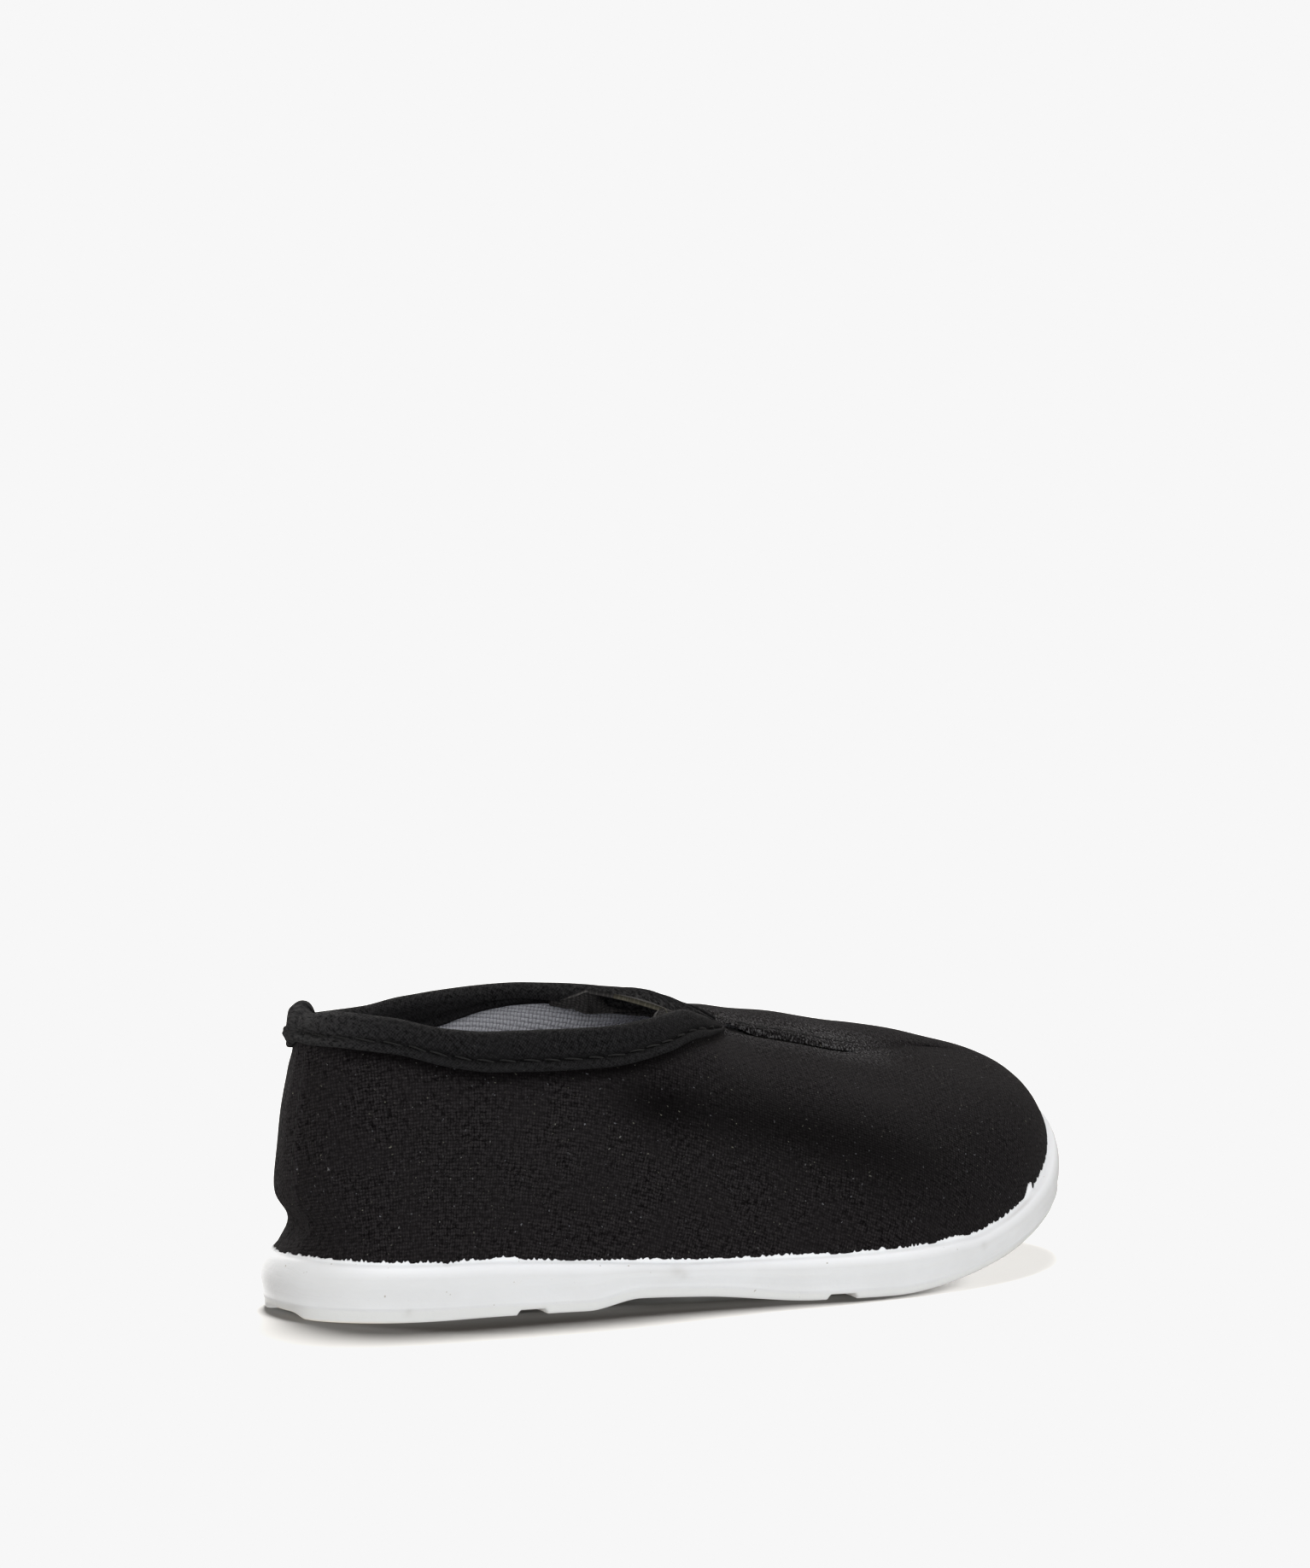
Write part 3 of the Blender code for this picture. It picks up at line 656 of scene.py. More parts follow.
class Nodes:
    """Short ways to add nodes to a tree."""

    def __init__(self, tree):
        self.tree = tree

    def put(self, socket, value):
        if isinstance(value, bpy.types.NodeSocket):
            self.tree.links.new(value, socket)
        else:
            socket.default_value = value

    def node(self, kind, inputs, output=0, **settings):
        made = self.tree.nodes.new("ShaderNode" + kind)
        for setting, value in settings.items():
            setattr(made, setting, value)
        for socket, value in inputs.items():
            self.put(made.inputs[socket], value)
        return made.outputs[output]

    def math(self, operation, *values):
        return self.node("Math", dict(enumerate(values)), operation=operation)

    def between(self, value, start, end, low=0.0, high=1.0):
        """Maps a value from one range softly to another."""
        inputs = {0: value, 1: start, 2: end, 3: low, 4: high}
        return self.node("MapRange", inputs, interpolation_type="SMOOTHSTEP")


class Paint(Nodes):
    """A Principled material and the patterns that its colours are mixed by."""

    def __init__(self, name, **sockets):
        self.material = bpy.data.materials.new(name)
        self.material.use_nodes = True
        super().__init__(self.material.node_tree)
        self.shader = self.tree.nodes["Principled BSDF"]
        for socket, value in sockets.items():
            self.shader.inputs[socket.replace("_", " ")].default_value = value

    def noise(self, vector, scale, detail=2.0, roughness=0.55):
        inputs = {"Vector": vector, "Scale": scale, "Detail": detail, "Roughness": roughness}
        return self.node("TexNoise", inputs, "Fac")

    def mix(self, factor, first, second):
        """A blend of two colours."""
        return self.node("Mix", {0: factor, 6: first, 7: second}, 2, data_type="RGBA")

    def cloth(self):
        return self.node("UVMap", {}, uv_map="cloth")

    def place(self):
        """Place on the object in millimetres."""
        spot = self.node("TexCoord", {}, "Object")
        return self.node("VectorMath", {0: spot, "Scale": 1 / METRES}, operation="SCALE")

    def mark(self, name):
        return self.node("Attribute", {}, "Fac", attribute_name=name)

    def weave(self, cloth, warp, weft, turn, wander):
        """Height of a plain weave: threads one over and one under, a little uneven."""
        angle = math.radians(turn)
        stray = self.node("TexNoise", {"Vector": cloth, "Scale": 0.35, "Detail": 3.0}, "Color")
        shift = self.node("VectorMath", {0: stray, 1: (0.5, 0.5, 0.5)}, operation="SUBTRACT")
        shift = self.node("VectorMath", {0: shift, "Scale": wander}, operation="SCALE")
        spot = self.node("VectorMath", {0: cloth, 1: shift}, operation="ADD")
        spot = self.node("VectorRotate", {"Vector": spot, "Angle": angle}, rotation_type="Z_AXIS")
        across = self.math("MULTIPLY", self.node("SeparateXYZ", {0: spot}, "X"), 1 / warp)
        upward = self.math("MULTIPLY", self.node("SeparateXYZ", {0: spot}, "Y"), 1 / weft)
        turn_taken = self.math("ADD", self.math("FLOOR", across), self.math("FLOOR", upward))
        turn_taken = self.math("FLOORED_MODULO", turn_taken, 2.0)
        warp_round = self.math("ABSOLUTE", self.math("SINE", self.math("MULTIPLY", across, math.pi)))
        weft_round = self.math("ABSOLUTE", self.math("SINE", self.math("MULTIPLY", upward, math.pi)))
        warp_over = self.math("MULTIPLY", warp_round, self.math("MULTIPLY_ADD", weft_round, 0.5, 0.5))
        weft_over = self.math("MULTIPLY", weft_round, self.math("MULTIPLY_ADD", warp_round, 0.5, 0.5))
        return self.node("Mix", {0: turn_taken, 2: warp_over, 3: weft_over}, data_type="FLOAT")

    def finish(self, colour, height, distance, strength):
        """The material, with a colour and a bump on its shader."""
        self.put(self.shader.inputs["Base Color"], colour)
        inputs = {"Height": height, "Distance": distance * METRES, "Strength": strength}
        self.put(self.shader.inputs["Normal"], self.node("Bump", inputs))
        return self.material


class BrushedCloth(Paint):
    """A brushed black cloth: grainy where its weave shows, even where its nap hides it."""

    def __init__(self, name, roughness, threads, fuzz_scale, nap_scale, shades):
        sheen = {"Sheen_Weight": 0.02, "Sheen_Roughness": 0.5}
        super().__init__(name, Roughness=roughness, Specular_IOR_Level=0.03, **sheen)
        self.flat = self.cloth()
        self.height = self.weave(self.flat, *threads)
        self.fuzz = self.noise(self.flat, fuzz_scale, 4.0, 0.75)
        nap = self.noise(self.flat, nap_scale, 3.0, 0.6)
        grain = self.math("MULTIPLY_ADD", self.height, 0.75, 0.15)
        grain = self.math("MULTIPLY", grain, self.between(self.fuzz, 0.32, 0.68, 0.15, 2.0))
        grain = self.math("SUBTRACT", grain, 0.55)
        tone = self.math("MULTIPLY_ADD", grain, self.between(nap, 0.35, 0.65, 0.5, 1.1), 0.5)
        # The tone is scaled by the mark of painted light and shade: darker where shade is painted, paler
        # where light is painted
        self.colour = self.mix(self.math("MULTIPLY", tone, self.mark("dust")), *shades)

    def wear(self, fibres, start, end, shade):
        """Pale fibres where the cloth is worn."""
        worn = self.math("MULTIPLY", self.mark("worn"), self.between(fibres, start, end))
        self.colour = self.mix(worn, self.colour, shade)

    def lint(self, scale, start, end, shade):
        """Specks of lint."""
        specks = self.noise(self.flat, scale, 2.0, 0.6)
        self.colour = self.mix(self.between(specks, start, end), self.colour, shade)

    def brushed(self, distance):
        fuzzy = self.math("MULTIPLY_ADD", self.fuzz, 0.8, self.height)
        return self.finish(self.colour, fuzzy, distance, 0.8)


def canvas_paint():
    paint = BrushedCloth("black_canvas", 0.95, (0.56, 0.60, 14, 1.0), 1.2, 0.13, CANVAS_SHADES)
    paint.wear(paint.noise(paint.flat, 2.4, 3.0, 0.75), 0.47, 0.66, CANVAS_WORN)
    tint = paint.noise(paint.flat, 0.25, 1.0)
    paint.lint(1.35, 0.66, 0.78, paint.mix(paint.between(tint, 0.45, 0.55), *CANVAS_LINT))
    return paint.brushed(0.12)


def binding_paint():
    paint = BrushedCloth("black_tape", 0.92, (0.44, 0.48, 38, 0.35), 1.3, 0.16, TAPE_SHADES)
    paint.wear(paint.fuzz, 0.38, 0.66, TAPE_WORN)
    paint.lint(1.3, 0.70, 0.80, TAPE_LINT)
    return paint.brushed(0.10)


def lining_paint(name, shades, pitch):
    paint = Paint(name, Roughness=0.95, Specular_IOR_Level=0.2, Sheen_Weight=0.1)
    cloth = paint.cloth()
    height = paint.weave(cloth, pitch, pitch * 1.05, 8, 0.3)
    fuzz = paint.noise(cloth, 1.8, 3.0, 0.7)
    tone = paint.math("MULTIPLY", paint.between(height, 0.15, 0.6), paint.between(fuzz, 0.25, 0.75, 0.6, 1.1))
    return paint.finish(paint.mix(tone, *shades), height, 0.2, 0.9)


def elastic_paint(name, shades):
    paint = Paint(name, Roughness=0.85, Specular_IOR_Level=0.05, Sheen_Weight=0.02)
    cloth = paint.cloth()
    height = paint.weave(cloth, 0.55, 0.8, 0, 0.2)
    fuzz = paint.noise(cloth, 1.7, 3.0, 0.7)
    tone = paint.math("MULTIPLY", height, paint.between(fuzz, 0.3, 0.7, 0.4, 1.3))
    return paint.finish(paint.mix(tone, *shades), height, 0.15, 0.8)


def thread_paint():
    paint = Paint("black_thread", Roughness=0.6, Specular_IOR_Level=0.12, Sheen_Weight=0.03)
    twist = paint.node("TexWave", {"Vector": paint.place(), "Scale": 1.6, "Distortion": 0.5}, "Fac")
    return paint.finish(paint.mix(twist, *THREAD_SHADES), twist, 0.06, 0.6)


def rubber_paint(name, tread=False):
    depth = {
        "Subsurface_Weight": 0.12,
        "Subsurface_Radius": (1.0, 0.9, 0.8),
        "Subsurface_Scale": 1.2 * METRES,
    }
    paint = Paint(name, Roughness=0.42, Specular_IOR_Level=0.45, IOR=1.5, **depth)
    place = paint.place()
    drawn = paint.node("Mapping", {"Vector": paint.cloth(), "Scale": (0.05, 1.3, 1.0)})
    streak = paint.noise(drawn, 1.0, 3.0, 0.6)
    cloud = paint.noise(place, 0.06, 3.0, 0.6)
    colour = paint.mix(paint.between(cloud, 0.35, 0.7), *RUBBER_SHADES)
    colour = paint.mix(paint.between(streak, 0.45, 0.75, 0.0, 0.35), colour, RUBBER_STREAK)
    for mark, shade in RUBBER_MARKS.items():
        colour = paint.mix(paint.mark(mark), colour, shade)
    speck = paint.noise(place, 1.1, 1.0)
    colour = paint.mix(paint.between(speck, 0.755, 0.80), colour, RUBBER_SPECK)
    height = paint.math("MULTIPLY_ADD", streak, 0.8, paint.noise(place, 0.9, 3.0, 0.6))
    if tread:
        inputs = {"Vector": place, "Scale": 0.16, "Distortion": 6.0, "Detail": 0.0}
        ribs = paint.node("TexWave", inputs, "Fac")
        height = paint.math("MULTIPLY_ADD", paint.between(ribs, 0.35, 0.65), 4.0, height)
    return paint.finish(colour, height, 0.10, 0.7)


# Pieces

# Wear of the canvas beside the slit: its ends along the shoe, its widths, and one rubbed spot
WORN_ENDS = (6.0, 40.0)
WORN_FAR = 5.5
WORN_NEAR = 3.6
WORN_SPOT = (33.0, 3.0)
WORN_SPOT_SIZE = 5.0
WORN_SPOT_SHARE = 0.6

# Lining: every so many points of the wall, straight below the canvas at the toe and sunk beside the slit
LINING_STEP = 2
LINING_TOE_WAYS = (0.80, 0.92)
LINING_TOE_BAND = (9.0, 4.0)
SLIT_CLEAR = 2.0
SLIT_CLEAR_BAND = (6.0, 2.5)


def make_canvas(wall, cloth):
    """The outer canvas, with the cloth's edge along the back."""
    columns, rows = wall.below.shape
    faces = quads(wall.numbers.T, closed=True)
    edge = columns * rows + np.arange(rows)
    last = faces.reshape(rows - 1, columns, 4)[:, -1]
    last[:, 1] = edge[:-1]
    last[:, 2] = edge[1:]
    points = np.concatenate([wall.points.reshape(-1, 3), wall.points[0]])
    uv = np.concatenate([cloth.reshape(-1, 2), 2 * cloth[-1] - cloth[-2]])
    x, y = points[:, 0], points[:, 1]
    from_slit = np.hypot(x - np.clip(x, *WORN_ENDS), y)
    worn = bell(from_slit, np.where(y > 0, WORN_FAR, WORN_NEAR)) * (x > 0)
    worn += WORN_SPOT_SHARE * bell(np.hypot(x - WORN_SPOT[0], y - WORN_SPOT[1]), WORN_SPOT_SIZE)
    # The canvas carries its worn fibres and its painted light and shade
    marks = {"worn": worn, "dust": np.concatenate([wall.dust.ravel(), wall.dust[0]])}
    piece = make_piece("canvas_upper", points, faces, [canvas_paint()], uv=uv, marks=marks)
    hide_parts("upper")


def make_lining(wall):
    """The grey lining inside the canvas."""
    way = wall.loop.way[:, None]
    toe = (ramp(way, *LINING_TOE_WAYS) * ramp(wall.below, *LINING_TOE_BAND))[:, :, None]
    inward = wall.normals * (1 - toe) + np.array([0.0, 0.0, 1.0]) * toe
    beside_slit = (way > BINDING_END_WAY) & (way < SLIT_END_WAY)
    depth = CANVAS + SLIT_CLEAR * beside_slit * ramp(wall.below, *SLIT_CLEAR_BAND)
    inner = wall.points - inward * depth[:, :, None]
    around = np.broadcast_to(wall.arc[:, WALL_ROWS // 2, None], wall.below.shape)
    cloth = np.stack([around, wall.below], axis=-1)
    inner, cloth = (values[::LINING_STEP, ::LINING_STEP] for values in (inner, cloth))
    numbers = wall_numbers(wall.loop.way[::LINING_STEP], wall.loop.lateral[::LINING_STEP], inner.shape[1])
    faces = quads(numbers.T, closed=True)[:, ::-1]
    paint = lining_paint("grey_lining", LINING_SHADES, LINING_PITCH)
    make_piece("lining", inner.reshape(-1, 3), faces, [paint], uv=cloth.reshape(-1, 2))


# Folded tape of the binding: each point lies at a share of the tape's height and a distance below the rim,
# and stands out from the canvas. At the back seam the tape's ends stand up and out as a nub.
FOLDS = table(
    "hem below out nub_up nub_out",
    (1.0, -0.60, 0.10, 0.0, 0.0),
    (1.0, 0.05, 0.25, 0.0, 0.0),
    (1.0, 0.15, 0.75, 0.0, 0.0),
    (1.0, -0.15, 1.10, 0.0, 0.4),
    (1.0, -0.75, 1.22, 0.0, 1.1),
    (1.0, -1.30, 0.90, 0.0, 1.9),
    (1.0, -1.72, 0.36, 0.0, 2.4),
    (1.0, -2.15, 0.98, 0.0, 1.8),
    (0.5, -0.60, 1.38, 0.0, 1.2),
    (0.0, 1.20, 1.45, 0.0, 0.9),
    (0.0, 0.25, 1.30, 0.0, 1.1),
    (0.0, -0.60, 0.85, 0.1, 1.6),
    (0.0, -1.15, 0.00, 0.8, 2.3),
    (0.0, -1.30, -0.80, 2.2, 1.7),
    (0.0, -1.10, -1.70, 2.5, 0.9),
    (0.0, -0.50, -2.50, 1.8, 0.4),
    (0.0, 0.40, -2.85, 0.7, 0.1),
    (0.5, -0.60, -2.85, 0.0, 0.0),
    (1.0, -1.90, -2.45, 0.0, 0.0),
    (1.0, -0.90, -2.70, 0.0, 0.0),
    (1.0, -0.10, -2.45, 0.0, 0.0),
    (1.0, 0.00, -1.95, 0.0, 0.0),
)
OUTER_FOLDS = slice(2, 12)
INNER_FOLDS = slice(16, None)
LOOSE_FOLDS = slice(2, 5)
STITCH_FOLD = 6
FOLD_PARTS = 3
THIN_WAY = 0.50
THIN_SHARE = 0.45
LOOSE_WAY = 0.29
LOOSE_SPAN = 0.09
LOOSE_OUT = 0.7
NUB_WAY = 0.2
NUB_HALF = 1.9
NUB_SHIFT = 1.4
PUCKER = Ripple(seed=5, longest=14.0, shortest=4.0)
PUCKER_HEIGHT = 0.07

# Wear of the tape, and painted light and shade on it: middles and widths in folds or along the way, and
# amounts
TOP_FOLD = (12.5, 2.2)
ROLL_FOLD = (4.0, 1.2)
GROOVE_FOLDS = 0.9
INSIDE_FOLDS = (13.0, 15.0)
TIP_WAY = 0.515
TIP_SPAN = 0.035
HEEL_WORN_SPAN = 0.13
HEEL_PAINTED_LIGHT_SPAN = 0.15
TOP_WORN = 0.15
TIP_WORN = 0.85
HEEL_WORN = 0.32
HEEL_PAINTED_LIGHT = 1.4
ROLL_HIGHLIGHT = 0.3
INSIDE_PAINTED_LIGHT = 0.25
GROOVE_SHADE = -0.55
STITCH_SHADE = -0.40

# Stitches of the tape, of the slit and of the back strip
THREAD = 0.36
STITCH_PITCH = 4.2
STITCH_LENGTH = 3.1
STITCH_UP = 1.7
STITCH_PULL = 0.25
STITCH_STRAY = 0.25
STITCH_SLANT = 0.35
STITCH_STAND = 0.50
STITCH_LIFT = 0.24
STITCH_END = 4.0
SLIT_STITCH_START = 0.012
SLIT_STITCH_PITCH = 9
SLIT_STITCH_LENGTH = 6
SLIT_STITCH_BELOW = (2.1, 2.0)
SLIT_STITCH_STAND = 0.05
SLIT_STITCH_LIFT = 0.10
STRIP_STITCH_ROWS = range(5, WALL_ROWS - 3, 3)
STRIP_STITCH_LENGTH = 2
STRIP_STITCH_SINK = 0.02
STRIP_STITCH_LIFT = 0.12


def binding_columns(loop):
    """Columns of the rim from the medial end of the binding round the heel to its lateral end."""
    end = int(np.searchsorted(loop.way[: len(loop.way) // 2], BINDING_END_WAY))
    return np.arange(-end, end + 1) % len(loop.way)


def hem_height(wall, column):
    return float(read(BINDING_HEIGHTS, "height", wall.loop.way[column]))


def tape_section(wall, column, pull):
    """Points round the tape at one column of the rim, pulled in by its stitch."""
    hem, below, out, nub_up, nub_out = np.array(FOLDS).T
    way = wall.loop.way[column]
    nub = bell(wall.arc[column, -1] + NUB_SHIFT, NUB_HALF) if way < NUB_WAY else 0.0
    thin = np.interp(way, [THIN_WAY, BINDING_END_WAY], [1.0, THIN_SHARE])
    loose = bell(way - LOOSE_WAY, LOOSE_SPAN) if wall.loop.lateral[column] else 0.0
    stand = np.where(out > 0, out * thin, -CANVAS + (out + CANVAS) * thin) + nub_out * nub
    stand[STITCH_FOLD] -= STITCH_PULL * pull
    stand[LOOSE_FOLDS] += LOOSE_OUT * loose
    height = hem_height(wall, column)
    heights = np.full(len(FOLDS), height)
    heights[INNER_FOLDS] = min(height, float(read(INNER_HEIGHTS, "height", way)))
    depth = hem * heights + below * np.where(hem < 1, 1.0, thin) - nub_up * nub
    depth[OUTER_FOLDS] = np.minimum.accumulate(depth[OUTER_FOLDS])
    depth[INNER_FOLDS] = np.maximum.accumulate(depth[INNER_FOLDS])
    return on_wall(wall, column, depth, stand)


def tape_marks(way, fold, pull):
    """Wear on the tape's top and heel; painted light on its heel, its roll and its inner faces, and painted
    shade in its stitched groove.
    """
    top = bell(fold - TOP_FOLD[0], TOP_FOLD[1])
    worn = top * (TOP_WORN + TIP_WORN * bell(way - TIP_WAY, TIP_SPAN)) + HEEL_WORN * bell(way, HEEL_WORN_SPAN)
    dust = 1.0 + HEEL_PAINTED_LIGHT * bell(way, HEEL_PAINTED_LIGHT_SPAN) + ROLL_HIGHLIGHT * bell(fold - ROLL_FOLD[0], ROLL_FOLD[1])
    dust = dust + INSIDE_PAINTED_LIGHT * ramp(fold, *INSIDE_FOLDS)
    dust += bell(fold - STITCH_FOLD, GROOVE_FOLDS) * (GROOVE_SHADE + STITCH_SHADE * pull)
    return {"worn": worn, "dust": dust}


def make_binding(wall):
    """The tape folded over the rim, puckered by its stitches."""
    columns = binding_columns(wall.loop)
    travel = travelled(wall.points[columns, -1], 0)
    pulls = 0.5 - 0.5 * np.cos(2 * np.pi * travel / STITCH_PITCH)
    sections = np.array([tape_section(wall, column, pull) for column, pull in zip(columns, pulls)])
    sections += PUCKER(sections)[:, :, None] * PUCKER_HEIGHT * wall.normals[columns, -1][:, None, :]
    sections = closed_spline(sections, FOLD_PARTS)
    shape = sections.shape[:2]
    numbers = grid(*shape)
    faces = np.concatenate([quads(numbers, closed=True), cap(numbers[0])[:, ::-1], cap(numbers[-1])])
    around = np.cumsum(np.linalg.norm(np.roll(sections, -1, axis=1) - sections, axis=2), axis=1)
    uv = np.stack([np.broadcast_to(travel[:, None], shape), around], axis=-1).reshape(-1, 2)
    marks = tape_marks(wall.loop.way[columns][:, None], np.arange(shape[1]) / FOLD_PARTS, pulls[:, None])
    points = sections.reshape(-1, 3)
    piece = make_piece("binding", points, faces, [binding_paint()], uv=uv, marks=marks)
    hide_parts("collar_binding")


def stitch_tube(start, end, lift, radius, sides=8, rings=9):
    """Points and quads of one stitch: a thread that dives into the cloth at both ends."""
    t = np.linspace(0, 1, rings)[:, None]
    centre = start + (end - start) * t + lift * (np.sin(np.pi * t) ** 0.6 - 0.45)
    over = unit(lift)
    across = np.cross(unit(end - start), over)
    angle = np.linspace(0, 2 * math.pi, sides, endpoint=False)
    ring = np.cos(angle)[:, None] * over + np.sin(angle)[:, None] * across
    points = centre[:, None, :] + radius * ring[None]
    return points.reshape(-1, 3), quads(grid(rings, sides), closed=True)


def make_stitches(name, stitches, paint):
    """All stitches of one seam as one piece, each given by its start, its end, its lift and its radius."""
    points, faces = join([stitch_tube(*stitch) for stitch in stitches])
    make_piece(name, points, faces, [paint])


def binding_stitches(wall):
    """Long stitches through the tape, above its rolled lower edge."""
    columns = binding_columns(wall.loop)
    travel = travelled(wall.points[columns, -1], 0)
    chance = np.random.default_rng(11)
    made = []
    for middle in np.arange(STITCH_PITCH / 2, travel[-1] - STITCH_END, STITCH_PITCH):
        middle += chance.uniform(-STITCH_STRAY, STITCH_STRAY)
        ends = []
        for step in (-0.5, 0.5):
            column = columns[int(np.searchsorted(travel, middle + step * STITCH_LENGTH)) % len(columns)]
            below = hem_height(wall, column) - STITCH_UP + step * STITCH_SLANT
            ends.append(on_wall(wall, column, [below], [STITCH_STAND])[0])
        made.append((*ends, wall.normals[column, -8] * STITCH_LIFT, THREAD / 2))
    return made


def slit_stitches(wall):
    """Short stitches beside the slit on its raised lip."""
    count = len(wall.loop.way)
    way = wall.loop.way[: count // 2]
    columns = np.nonzero((way > THROAT_WAY + SLIT_STITCH_START) & (way < SLIT_END_WAY))[0]
    made = []
    for pair in zip(columns[::SLIT_STITCH_PITCH], columns[SLIT_STITCH_LENGTH::SLIT_STITCH_PITCH]):
        ends = []
        for column, below in zip(pair, SLIT_STITCH_BELOW):
            ends.append(on_wall(wall, count - column, [below], [SLIT_STITCH_STAND])[0])
        made.append((*ends, wall.normals[-pair[0], -6] * SLIT_STITCH_LIFT, THREAD / 3.0))
    return made


def strip_stitches(wall):
    """A row of short stitches along each edge of the back strip."""
    away = back_distance(wall.loop)
    first = int(np.argmin(np.abs(away[: len(away) // 2] - STRIP_HALF + STRIP_SEAM_IN)))
    made = []
    for column in (first, len(away) - first):
        for row in STRIP_STITCH_ROWS:
            normal = wall.normals[column, row]
            start, end = wall.points[column, [row, row + STRIP_STITCH_LENGTH]] - STRIP_STITCH_SINK * normal
            made.append((start, end, normal * STRIP_STITCH_LIFT, THREAD / 2.8))
    return made


# Elastic of the throat: where its wings and its stretched middle start behind the V, how far it runs past it
WING_REAR_X = -18.8
FAR_REAR_X = -11.2
NEAR_REAR_X = -5.8
GUSSET_FRONT_WAY = 0.71
GUSSET_WING = 3.5
GUSSET_DEPTH = CANVAS + GAP + GUSSET / 2
UNDER_TAPE = GAP + 1.2
UNDER_TAPE_WAYS = (0.50, 0.545)
WING_BELOW = 0.5
WING_FOLD = 0.4
WING_OVERLAP = 3
FAR_TOP = 0.3
NEAR_TOP = 0.9
FRONT_TOP = 0.1
GUSSET_LIFT = 0.5
GUSSET_LIFT_SPANS = (8.0, 24.0)
GUSSET_LINES = 40
WING_POINTS = 16
BRIDGE_POINTS = 30
HEM_WIDTH = 0.8
HEM_START = 1.4
HEM_SHARE = 0.62
FRAY = Ripple(seed=8, longest=3.0, shortest=0.7, waves=20)
FRAY_HEIGHT = 0.35


def wing_line(wall, column, out=1.0):
    """One line of the elastic up the inside of a wall, from its frayed lower edge. Its fold comes out from
    under the tape, out at zero, to stand inside the rim, out at one."""
    way = wall.loop.way[column]
    rim = wall.points[column, -1]
    hem = float(read(INNER_HEIGHTS, "height", min(way, THROAT_WAY)))
    depth = GUSSET_DEPTH + np.interp(way, UNDER_TAPE_WAYS, (UNDER_TAPE, 0.0)) * out
    low = hem + WING_BELOW
    low += (GUSSET_WING - low) * (0.3 + 0.7 * out) + FRAY_HEIGHT * float(FRAY(rim))
    foot, fold = on_wall(wall, column, [low, hem - WING_FOLD], [-depth, -depth])
    hung = rim - depth * unit(wall.normals[column, -1] * np.array([1.0, 1.0, 0.0]))
    hung[2] += NEAR_TOP if wall.loop.lateral[column] else FAR_TOP
    front = on_wall(wall, column, [FRONT_TOP], [-depth])[0]
    top = fold + (hung - fold) * out
    top = top + (front - top) * ramp(way, UNDER_TAPE_WAYS[0], THROAT_WAY)
    return foot + (top - foot) * np.linspace(0, 1, WING_POINTS)[:, None]


def gusset_line(wall, near_column, far_column):
    """One line of the elastic up one wall, stretched across the throat, and down the other wall."""
    near = wing_line(wall, near_column)
    far = wing_line(wall, far_column)
    lift = np.interp(np.linalg.norm(far[-1] - near[-1]), GUSSET_LIFT_SPANS, (0.0, GUSSET_LIFT))
    part = np.linspace(0, 1, BRIDGE_POINTS + 2)[1:-1, None]
    bridge = (1 - part) * near[-1] + part * far[-1]
    bridge[:, 2] += lift * np.sin(np.pi * part[:, 0])
    return np.concatenate([near, bridge, far[::-1]])


def thick_sheet(lines):
    """Points, quads and cloth of a sheet of elastic through a list of lines."""
    lines = np.array(lines)
    numbers = grid(*lines.shape[:2])
    points = lines.reshape(-1, 3)
    sheet = quads(numbers, closed=False)
    half = point_normals(points, sheet) * GUSSET / 2
    border = np.concatenate([numbers[0], numbers[1:, -1], numbers[-1, -2::-1], numbers[-2:0:-1, 0]])
    edge = quads(np.stack([border, border + len(points)]), closed=True)
    faces = np.concatenate([sheet, sheet[:, ::-1] + len(points), edge])
    cloth = np.stack([travelled(lines, 1), np.linalg.norm(lines - lines[:1], axis=2)], axis=-1)
    return np.concatenate([points + half, points - half]), faces, np.tile(cloth.reshape(-1, 2), (2, 1))


def make_gusset(wall):
    """The black elastic panel, with the pale hem of its stretched rear edge."""
    count = len(wall.loop.way)
    rim_x = wall.points[: count // 2, -1, 0]
    rears = (WING_REAR_X, FAR_REAR_X, NEAR_REAR_X)
    wing_rear, far_rear, near_rear = (int(np.argmin(np.abs(rim_x - x))) for x in rears)
    front = int(np.searchsorted(wall.loop.way[: count // 2], GUSSET_FRONT_WAY))
    near_columns = np.linspace(near_rear, front, GUSSET_LINES).astype(int)
    far_columns = count - np.linspace(far_rear, front, GUSSET_LINES).astype(int)
    sheets = [thick_sheet([gusset_line(wall, near, far) for near, far in zip(near_columns, far_columns)])]
    _, faces, uv = sheets[0]
    across, behind = uv[faces].mean(axis=1).T
    hem = (behind < HEM_WIDTH) & (across > GUSSET_WING + HEM_START) & (across < HEM_SHARE * uv[:, 0].max())
    near_wing = np.arange(wing_rear, near_rear + WING_OVERLAP)
    far_wing = count - np.arange(wing_rear, far_rear + WING_OVERLAP)
    for columns in (near_wing, far_wing):
        outs = ramp(np.arange(len(columns)), 0, len(columns) - WING_OVERLAP)
        sheets.append(thick_sheet([wing_line(wall, column, out) for column, out in zip(columns, outs)]))
    points, faces, uv = join(sheets)
    slots = np.zeros(len(faces), int)
    slots[: len(hem)] = hem
    paints = [elastic_paint("black_elastic", ELASTIC_SHADES), elastic_paint("elastic_hem", HEM_SHADES)]
    piece = make_piece("gusset", points, faces, paints, slots=slots, uv=uv)
    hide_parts("throat_gusset")


# Ragged flash of the sole along the canvas: teeth of rubber pressed into the weave, and a few larger smears
TOOTH_WIDTH = 0.70
TOOTH_HEIGHT = 0.60
SWELL_HEIGHT = 0.22
SMEARS = table(
    "x width height",
    (-58.0, 2.0, -0.4),
    (-48.0, 2.0, 0.45),
    (-46.0, 0.8, 0.35),
    (12.0, 4.0, -0.3),
    (38.0, 3.0, 0.4),
    (63.0, 1.1, 1.5),
    (64.6, 0.5, -0.7),
)
